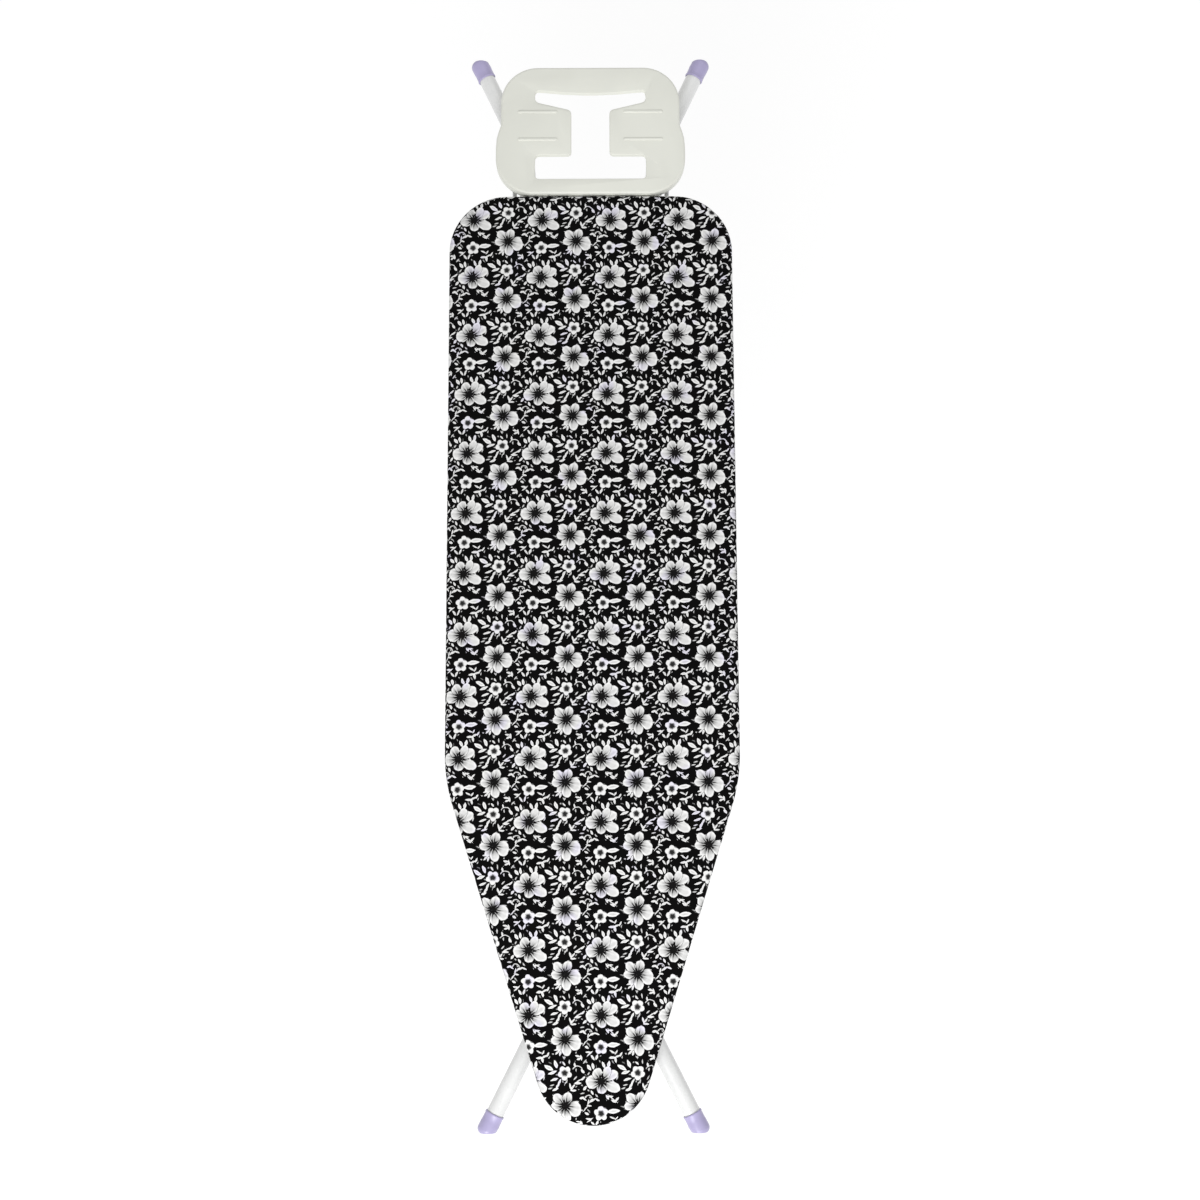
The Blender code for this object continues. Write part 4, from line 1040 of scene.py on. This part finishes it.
def make_foot(letter, label, side, leg, plastic):
    """A pushed-on foot: a rolled mouth, a plain barrel, a rounded toe and a flat sole."""
    end_y = SOLE_Y + CAP_OVERSHOOT
    end_x = side * (leg["x"] + (end_y - leg["flare_y"]) * tan(leg["flare"]))
    inward = -Vector((side * sin(leg["flare"]), leg["toward"] * cos(leg["flare"]), 0.0))
    bore = LEG_RADIUS + 0.00025
    profile = [(0.0, CAP_FLOOR), (bore - 0.001, CAP_FLOOR), (bore, CAP_FLOOR + 0.001)]
    mouth = [(bore, 0.0007), (bore + 0.0003, 0.0001), (bore + 0.0007, 0.0), (CAP_RADIUS - 0.0004, 0.0002),
             (CAP_RADIUS, 0.0008), (CAP_RADIUS, 0.0022), (CAP_RADIUS - 0.00045, 0.0030),
             (CAP_RADIUS - 0.00040, 0.0110), (CAP_RADIUS - 0.0001, 0.0140)]
    profile += [(radius, CAP_LENGTH - down) for radius, down in mouth]
    for k in range(13):
        turn = pi / 2 * k / 12
        profile.append((CAP_RADIUS - CAP_EDGE + CAP_EDGE * cos(turn), CAP_EDGE - CAP_EDGE * sin(turn)))
    profile.append((0.0, 0.0))
    foot = lathe(f"foot_{letter}_{label}", profile, (end_x, leg["toward"] * end_y, LEG_Z), inward, 56)
    blend = 0.0008
    for vertex in foot.data.vertices:
        past = leg["toward"] * vertex.co.y - SOLE_Y
        if past > -blend:
            vertex.co.y = leg["toward"] * (SOLE_Y - blend * exp(-(past + blend) / blend))
    return finish(foot, leg["body"], plastic, "foot_plastic", f"foot_cap_{letter}_{label}")


def make_legs(enamel, lavender, steel, nylon):
    for letter, leg in LEG_FRAMES.items():
        body = leg["body"]
        end_y = SOLE_Y + CAP_OVERSHOOT - (CAP_FLOOR + 0.0003) * cos(leg["flare"])
        braces = {place: f"leg_{letter}_brace_{place}" for place in ("upper", "lower")}
        for label, side in SIDES:
            path = leg_axis(side * leg["x"], leg["flare_y"], leg["flare"], leg["toward"], end_y)
            tube = pipe(f"leg_{letter}_{label}", path, LEG_RADIUS, LEG_WALL, 36)
            finish(tube, body, enamel, "leg_enamel", f"leg_{letter}_tube_{label}")
            ear = f"leg_{letter}_ear_{label}"
            finish(refined(ear, 0.0004, 3), body, enamel, "leg_enamel", ear)
            make_foot(letter, label, side, leg, lavender)
            for place, node in braces.items():
                low, high, middle = box(node)
                name = f"weld_{letter}_{place}_{label}"
                joint = (side * (high[0] - 0.0002), middle[1], LEG_Z)
                weld_bead(name, joint, BRACE_RADIUS + 0.0002, 0.0010, body, enamel)
        for node in braces.values():
            low, high, middle = box(node)
            ends = ((low[0], middle[1], LEG_Z), (high[0], middle[1], LEG_Z))
            finish(rod(f"{node}_bar", ends, BRACE_RADIUS, 36), body, enamel, "leg_enamel", node)
    for label, side in SIDES:
        make_centre_pivot(label, side, steel, nylon)
        make_slide_end(label, side, steel, nylon)
    pin("slide_pin", "slide_bar", "outer_legs", steel)


def make_centre_pivot(label, side, steel, nylon):
    """A bolt with a low domed head, a hexagon nut, and the spacer between the two leg tubes."""
    low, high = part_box(f"centre_bolt_{label}")
    inner = low[0] if side > 0 else high[0]
    shank, head, head_height = 0.0030, 0.0065, 0.0035
    under = high[0] - low[0] - head_height
    profile = [(0.0, 0.0), (shank - 0.0004, 0.0), (shank, 0.0004), (shank, under), (head, under)]
    dome = [(head, 0.0009), (0.0060, 0.0022), (0.0044, 0.0032), (0.0022, head_height), (0.0, head_height)]
    profile += [(radius, under + height) for radius, height in dome]
    bolt = lathe(f"pivot_bolt_{label}", profile, (inner, 0.0, LEG_Z), (side, 0, 0), 40)
    finish(bolt, "outer_legs", steel, "zinc_steel", f"centre_bolt_{label}")
    low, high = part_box(f"centre_nut_{label}")
    length = high[0] - low[0]
    across = 0.0058
    flank = ((0.90, 0.0), (1.0, 0.0006))
    profile = [(0.0035, 0.0), (0.0035, length)]
    profile += [(across * share, length - down) for share, down in flank]
    profile += [(across * share, down) for share, down in reversed(flank)]
    nut = lathe(f"pivot_nut_{label}", profile, (low[0], 0.0, LEG_Z), (1, 0, 0), 6, True, radians(20.0))
    finish(nut, "outer_legs", steel, "zinc_steel", f"centre_nut_{label}")
    low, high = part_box(f"centre_spacer_{label}")
    spacer = washer(f"pivot_spacer_{label}", 0.0033, 0.0090, low[0], high[0], 0.0, LEG_Z, 0.0006)
    finish(spacer, "outer_legs", nylon, "nylon", f"centre_spacer_{label}")


def make_slide_end(label, side, steel, nylon):
    """A flanged bush on the slide bar's end, and the cap that keeps it there."""
    low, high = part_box(f"slide_bush_{label}")
    length = high[0] - low[0]
    under = length - 0.0030
    bore, barrel, flange = 0.0043, 0.0062, 0.0088
    corners = [(bore, 0.0), (bore, length), (flange, length)]
    corners += [(flange, under), (barrel, under), (barrel, 0.0)]
    profile = [tuple(p) for p in fillet(corners, 0.0004, 3, closed=True)]
    start = (low[0] if side > 0 else high[0], -PIVOT_Y, PIVOT_Z)
    bush = lathe(f"slide_roller_{label}", profile, start, (side, 0, 0), 48, loop=True)
    finish(bush, "outer_legs", nylon, "nylon", f"slide_bush_{label}")
    push_cap(f"slide_cap_{label}", side, "outer_legs", steel)


# ---- release lever ---------------------------------------------------------------------------
LEVER = Vector((0.020, -0.400, 0.0396))
LEVER_DROP = radians(9.7)
LEVER_ARM = 0.098
LEVER_END_Y = 0.085
LEVER_RADIUS = 0.0025
GRIP_START = 0.060
GRIP_HALF_WIDTH, GRIP_HALF_HEIGHT = 0.0110, 0.0046
SPRING_RADIUS, SPRING_WIRE, SPRING_COILS = 0.0032, 0.0004, 5


def grip_ring(center, across, up, share, steps):
    """One section of the grip: a soft-cornered box, smaller at both ends and grooved between."""
    end = min(1.0, min(share, 1 - share) * steps / 3.0)
    full = (1 - (1 - end) ** 2) ** 0.5
    groove = 0.0005 * max(0.0, sin(share * pi * 9 - pi / 2)) if 0.15 < share < 0.85 else 0.0
    half_width = GRIP_HALF_WIDTH * (0.70 + 0.30 * full) - 0.0008 * (1 - share)
    half_height = GRIP_HALF_HEIGHT * (0.55 + 0.45 * full) - groove
    ring = []
    for k in range(40):
        turn = 2 * pi * k / 40
        c, s = cos(turn), sin(turn)
        reach = (abs(c) ** 4 + abs(s) ** 4) ** -0.25
        ring.append(center + across * c * reach * half_width + up * s * reach * half_height)
    return ring


def make_lever(steel, lavender, nylon):
    arm = Vector((cos(LEVER_DROP), 0.0, -sin(LEVER_DROP)))
    corner = [Vector((LEVER.x, LEVER_END_Y, LEVER.z)), LEVER, LEVER + arm * (LEVER_ARM - 0.012)]
    path = fillet(corner, 0.0085, 10)
    straight = [path[0].lerp(path[1], k / 10) for k in range(10)]
    lever = rod("release_rod", straight + path[1:], LEVER_RADIUS, 24)
    finish(lever, "release_lever", steel, "zinc_steel", "lever_rod")
    finish(refined("ejector_strip", 0.0002), "release_lever", steel, "zinc_steel", "ejector_strip")
    across = Vector((0, 1, 0))
    up = arm.cross(across)
    steps = 30
    rings = []
    for i in range(steps + 1):
        share = i / steps
        center = LEVER + arm * (GRIP_START + (LEVER_ARM - GRIP_START) * share)
        rings.append(grip_ring(center, across, up, share, steps))
    grip = loft("release_grip", rings, caps=True)
    finish(grip, "release_lever", lavender, "grip_plastic", "lever_grip")
    for label in ("front", "rear"):
        finish(refined(f"lever_hanger_{label}", 0.0003), "deck", nylon, "nylon", f"lever_hanger_{label}")
    low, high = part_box("lever_spring")
    length = high[1] - low[1] - 2 * SPRING_WIRE
    points = SPRING_COILS * 24
    helix = []
    for i in range(points + 1):
        turn = 2 * pi * i / 24
        helix.append((LEVER.x + SPRING_RADIUS * cos(turn), high[1] - SPRING_WIRE - length * i / points,
                      LEVER.z + SPRING_RADIUS * sin(turn)))
    spring = rod("return_spring", helix, SPRING_WIRE, 10, chamfer=0.0001)
    finish(spring, "deck", steel, "zinc_steel", "lever_spring")


# ---- iron rest -------------------------------------------------------------------------------
BOSS_X, BOSS_Y = 0.093, 0.6085
REST_ROD_X, REST_ROD_RADIUS = 0.1035, 0.003


def rest_outline(inset=0.0, steps=20):
    radius = REST_CORNER - inset
    half = arc((REST_HALF_REAR - REST_CORNER, REST_REAR_Y - REST_CORNER), radius, pi / 2, 0.0, steps)
    waist = [(REST_HALF_REAR, 0.012), (REST_HALF_REAR + 0.0003, 0.002), (REST_HALF_FRONT - 0.0040, -0.006),
             (REST_HALF_FRONT - 0.0012, -0.016), (REST_HALF_FRONT, -0.030)]
    half += [(x - inset, REST_STEP_Y + past) for x, past in waist]
    half += arc((REST_HALF_FRONT - REST_CORNER, REST_FRONT_Y + REST_CORNER), radius, 0.0, -pi / 2, steps)
    return half + [(-x, y) for x, y in reversed(half) if x > 1e-6]


def rest_opening():
    """The I-shaped opening, anticlockwise: its rear edge bows towards the nose."""
    bar, stem = 0.075, 0.0258
    front, front_top = 0.5317, 0.5651
    slope, rear_low, rear, bow = 0.6290, 0.6410, 0.6575, 0.0052
    right = [(0.035, rear - bow * 0.72), (bar, rear), (bar, rear_low), (stem, slope)]
    right += [(stem, front_top), (bar, front_top), (bar, front)]
    corners = [(0.0, rear - bow)] + right + [(-x, y) for x, y in reversed(right)]
    return [tuple(p) for p in fillet([(x, y) for x, y in reversed(corners)], 0.0052, 6, closed=True)]


def rest_shell():
    """The rest's outer skin as a solid: a rounded top edge and a small break at the foot."""
    edge, crown = 0.0036, 0.0030
    sections = [(0.0006, REST_BOTTOM_Z), (0.0, REST_BOTTOM_Z + 0.0006)]
    for k in range(9):
        turn = pi / 2 * k / 8
        sections.append((edge * (1 - cos(turn)), REST_TOP_Z - crown + crown * sin(turn)))
    rings = [[(x, y, z) for x, y in rest_outline(inset)] for inset, z in sections]
    return loft("iron_rest_shell", rings, caps=True)


def tray(name, top, island=None):
    """The space under the plate; with an island it leaves a wall round the opening."""
    space = prism(name, rest_outline(REST_WALL), REST_BOTTOM_Z - 0.01, top)
    if island:
        space = cut(space, prism("island", island, REST_BOTTOM_Z - 0.02, top + 0.01))
    return space


def lip(normal, point):
    """A wide grey slope on the rear edges of the two tabs, a small radius elsewhere."""
    facing_rear = max(0.0, -normal.y) if 0.60 < point.y < 0.648 and abs(point.x) < 0.074 else 0.0
    return 1.0 + 2.2 * facing_rear


def make_rest(plastic, enamel, steel):
    opening = rest_opening()
    rest = cut(rest_shell(), tray("hollow", REST_TOP_Z - REST_WALL, offset_loop(opening, 0.0020)))
    rest = cut(rest, tray("below_flange", REST_TOP_Z - 0.0068))
    boss_profile = [(0.0, 0.0), (0.0037, 0.0), (0.0040, 0.0003), (0.0044, 0.0085), (0.0, 0.0085)]
    pilot_profile = [(0.0, 0.0), (0.0017, 0.0), (0.0017, 0.0078), (0.0, 0.0078)]
    for label, side in SIDES:
        boss = lathe("boss", boss_profile, (side * BOSS_X, BOSS_Y, 0.0462), (0, 0, 1), 28)
        rest = cut(rest, boss, "UNION")
        pilot = lathe("pilot", pilot_profile, (side * BOSS_X, BOSS_Y, 0.0442), (0, 0, 1), 20)
        rest = cut(rest, pilot)
        for y in RIB_Y:
            rest = cut(rest, rib_solid(side * RIB_X, y, 0.0268, 0.0020), "UNION")
    rings = []
    for height, spread in ((0.065, 1.0), (REST_TOP_Z, 1.0), (REST_TOP_Z - 0.0002, 0.6),
                           (REST_TOP_Z - 0.0006, 0.25), (REST_TOP_Z - 0.0012, 0.0), (0.030, 0.0)):
        grown = offset_loop(opening, lambda n, p, s=spread: 0.0011 * s * lip(n, p))
        rings.append([(x, y, height) for x, y in grown])
    rest = cut(rest, loft("opening", rings, caps=True))
    rest.data.shade_smooth()
    rest.data.set_sharp_from_angle(angle=radians(35.0))
    finish(rest, "deck", plastic, "rest_plastic", "iron_rest")

    under_plate, under_hem, under_brace = 0.0492, 0.0224, 0.0393
    route = [(0.441, under_brace), (0.459, under_brace), (0.480, under_hem), (0.516, under_hem),
             (0.545, under_plate), (0.668, under_plate)]
    for label, side in SIDES:
        path = fillet([(side * REST_ROD_X, y, z) for y, z in route], 0.007, 8)
        bar = rod(f"rest_bar_{label}", path, REST_ROD_RADIUS, 24)
        finish(bar, "deck", enamel, "deck_enamel", f"rest_rod_{label}")
        finish(refined(f"rest_clip_{label}", 0.0003), "deck", steel, "zinc_steel", f"rest_clip_{label}")
        make_screw(label, steel)


def rib_solid(x, y, half_length, half_width):
    """A low raised rib with rounded ends and a rounded crest."""
    height, sink = 0.0012, 0.0010
    end = half_length - half_width
    rings = []
    for k in range(7):
        turn = pi / 2 * k / 6
        reach = half_width * (0.25 + 0.75 * cos(turn))
        z = REST_TOP_Z + height * sin(turn)
        ring = []
        for i in range(32):
            angle = 2 * pi * i / 32
            middle = x + end if cos(angle) > 0 else x - end
            ring.append((middle + reach * cos(angle), y + reach * sin(angle), z))
        rings.append(ring)
    foot = [(a, b, REST_TOP_Z - sink) for a, b, c in rings[0]]
    return loft("rib", [foot] + rings, caps=True)


def make_screw(label, steel):
    """A pan-head screw with a cross recess."""
    low, high, middle = box(f"rest_screw_{label}")
    x, y = middle[0], middle[1]
    length = high[2] - low[2]
    root, crest, under_head, head = 0.0010, 0.0014, 0.0016, 0.0030
    profile = [(0.0, 0.0), (0.0015, 0.0), (0.0025, 0.0004), (head, 0.0010)]
    profile += [(head, under_head), (crest, under_head)]
    turns = 12
    for k in range(turns):
        share = (k + 1) / turns
        profile.append((crest if k % 2 else root, under_head + (length - 0.0022) * share))
    profile.append((0.0, length))
    screw = lathe(f"rest_screw_{label}_cut", profile, (x, y, low[2]), (0, 0, 1), 24)
    for turn in (0.0, pi / 2):
        c, s = cos(turn + 0.4), sin(turn + 0.4)
        corners = [(0.0017, 0.0003), (-0.0017, 0.0003), (-0.0017, -0.0003), (0.0017, -0.0003)]
        slot = [(x + c * u - s * v, y + s * u + c * v) for u, v in corners]
        screw = cut(screw, prism("recess", slot, low[2] - 0.001, low[2] + 0.0008))
    screw.data.shade_smooth()
    screw.data.set_sharp_from_angle(angle=radians(30.0))
    return finish(screw, "deck", steel, "zinc_steel", f"rest_screw_{label}")


# ---- build -----------------------------------------------------------------------------------
white_enamel = powder_coat("white_enamel", (0.75, 0.755, 0.75))
grey_plastic = moulded_plastic("warm_grey_plastic", srgb(224, 225, 216))
lavender = moulded_plastic("lavender_plastic", srgb(172, 165, 201), 1500.0, (0.30, 0.44), 0.15)
nylon = moulded_plastic("natural_nylon", (0.72, 0.71, 0.66), 1600.0, (0.34, 0.48), 0.10)
zinc = plated_steel("zinc_plating", (0.58, 0.59, 0.60))

make_pad()
make_expanded_sheet(white_enamel)
make_deck_metal(white_enamel, zinc)
make_cover()
make_legs(white_enamel, lavender, zinc, nylon)
make_lever(zinc, lavender, nylon)
make_rest(grey_plastic, white_enamel, zinc)


# ---- floor, light and camera -----------------------------------------------------------------
FLOOR_GLOW = 0.72                # so that the floor stays white under the soft light
FLOOR_Z = -0.853                 # where the feet stand once the legs are unfolded all the way
FLOOR_REACH = 8.0
WORLD_LIGHT, WORLD_SEEN = 0.62, 1.0
CAMERA_AIM = Vector((0.0106, -0.0422, 0.053))
CAMERA_AWAY = Vector((0.0, -0.3123, 2.1421))
CAMERA_ROLL = radians(-0.22)


def make_floor():
    """A white studio floor, seen from above only, so that the board's underside can be looked at."""
    mesh = bpy.data.meshes.new("floor")
    signs = ((-1, -1), (1, -1), (1, 1), (-1, 1))
    corners = [(x * FLOOR_REACH, y * FLOOR_REACH, FLOOR_Z) for x, y in signs]
    mesh.from_pydata(corners, [], [(0, 1, 2, 3)])
    floor_plane = link("floor", mesh)
    paint = Paint("pale_floor")
    tone = paint.noise(paint.object_space(), 1.5, 2.0)
    shade = paint.mix(tone, (0.34, 0.34, 0.34), (0.36, 0.36, 0.36))
    facing = paint.math("SUBTRACT", 1.0, paint.node("ShaderNodeNewGeometry").outputs["Backfacing"])
    mesh.materials.append(paint.surface(Base_Color=shade, Roughness=0.8, Specular_IOR_Level=0.1,
                                        Alpha=facing, Emission_Strength=FLOOR_GLOW))


def make_world():
    """An even white surround, dimmer as a light than it looks behind the object."""
    world = bpy.data.worlds.new("studio")
    world.use_nodes = True
    tree = world.node_tree
    background = tree.nodes["Background"]
    background.inputs["Color"].default_value = (1.0, 1.0, 1.0, 1.0)
    strength = tree.nodes.new("ShaderNodeMapRange")
    strength.inputs["To Min"].default_value = WORLD_LIGHT
    strength.inputs["To Max"].default_value = WORLD_SEEN
    path = tree.nodes.new("ShaderNodeLightPath")
    tree.links.new(path.outputs["Is Camera Ray"], strength.inputs["Value"])
    tree.links.new(strength.outputs[0], background.inputs["Strength"])
    bpy.context.scene.world = world


def area_light(name, location, target, size, power):
    data = bpy.data.lights.new(name, "AREA")
    data.shape = "RECTANGLE"
    data.size, data.size_y = size
    data.energy = power
    lamp = bpy.data.objects.new(name, data)
    lamp.location = location
    lamp.rotation_euler = (Vector(target) - Vector(location)).to_track_quat("-Z", "Y").to_euler()
    bpy.context.scene.collection.objects.link(lamp)


def make_camera():
    data = bpy.data.cameras.new("camera")
    data.lens = 50.0
    data.sensor_width = 36.0
    camera = bpy.data.objects.new("camera", data)
    camera.location = CAMERA_AIM + CAMERA_AWAY
    turn = (-CAMERA_AWAY).to_track_quat("-Z", "Y").to_matrix().to_4x4()
    roll = Matrix.Rotation(CAMERA_ROLL, 4, "Z")
    camera.rotation_euler = (turn @ roll).to_euler()
    bpy.context.scene.collection.objects.link(camera)
    bpy.context.scene.camera = camera


make_floor()
area_light("key", (-0.3, -2.2, 1.9), (0.0, 0.0, 0.0), (1.8, 1.0), 58.0)
area_light("fill", (0.8, 1.6, 2.4), (0.0, 0.1, 0.0), (2.2, 1.6), 8.0)
make_world()
bpy.context.scene.view_settings.view_transform = "Standard"
make_camera()
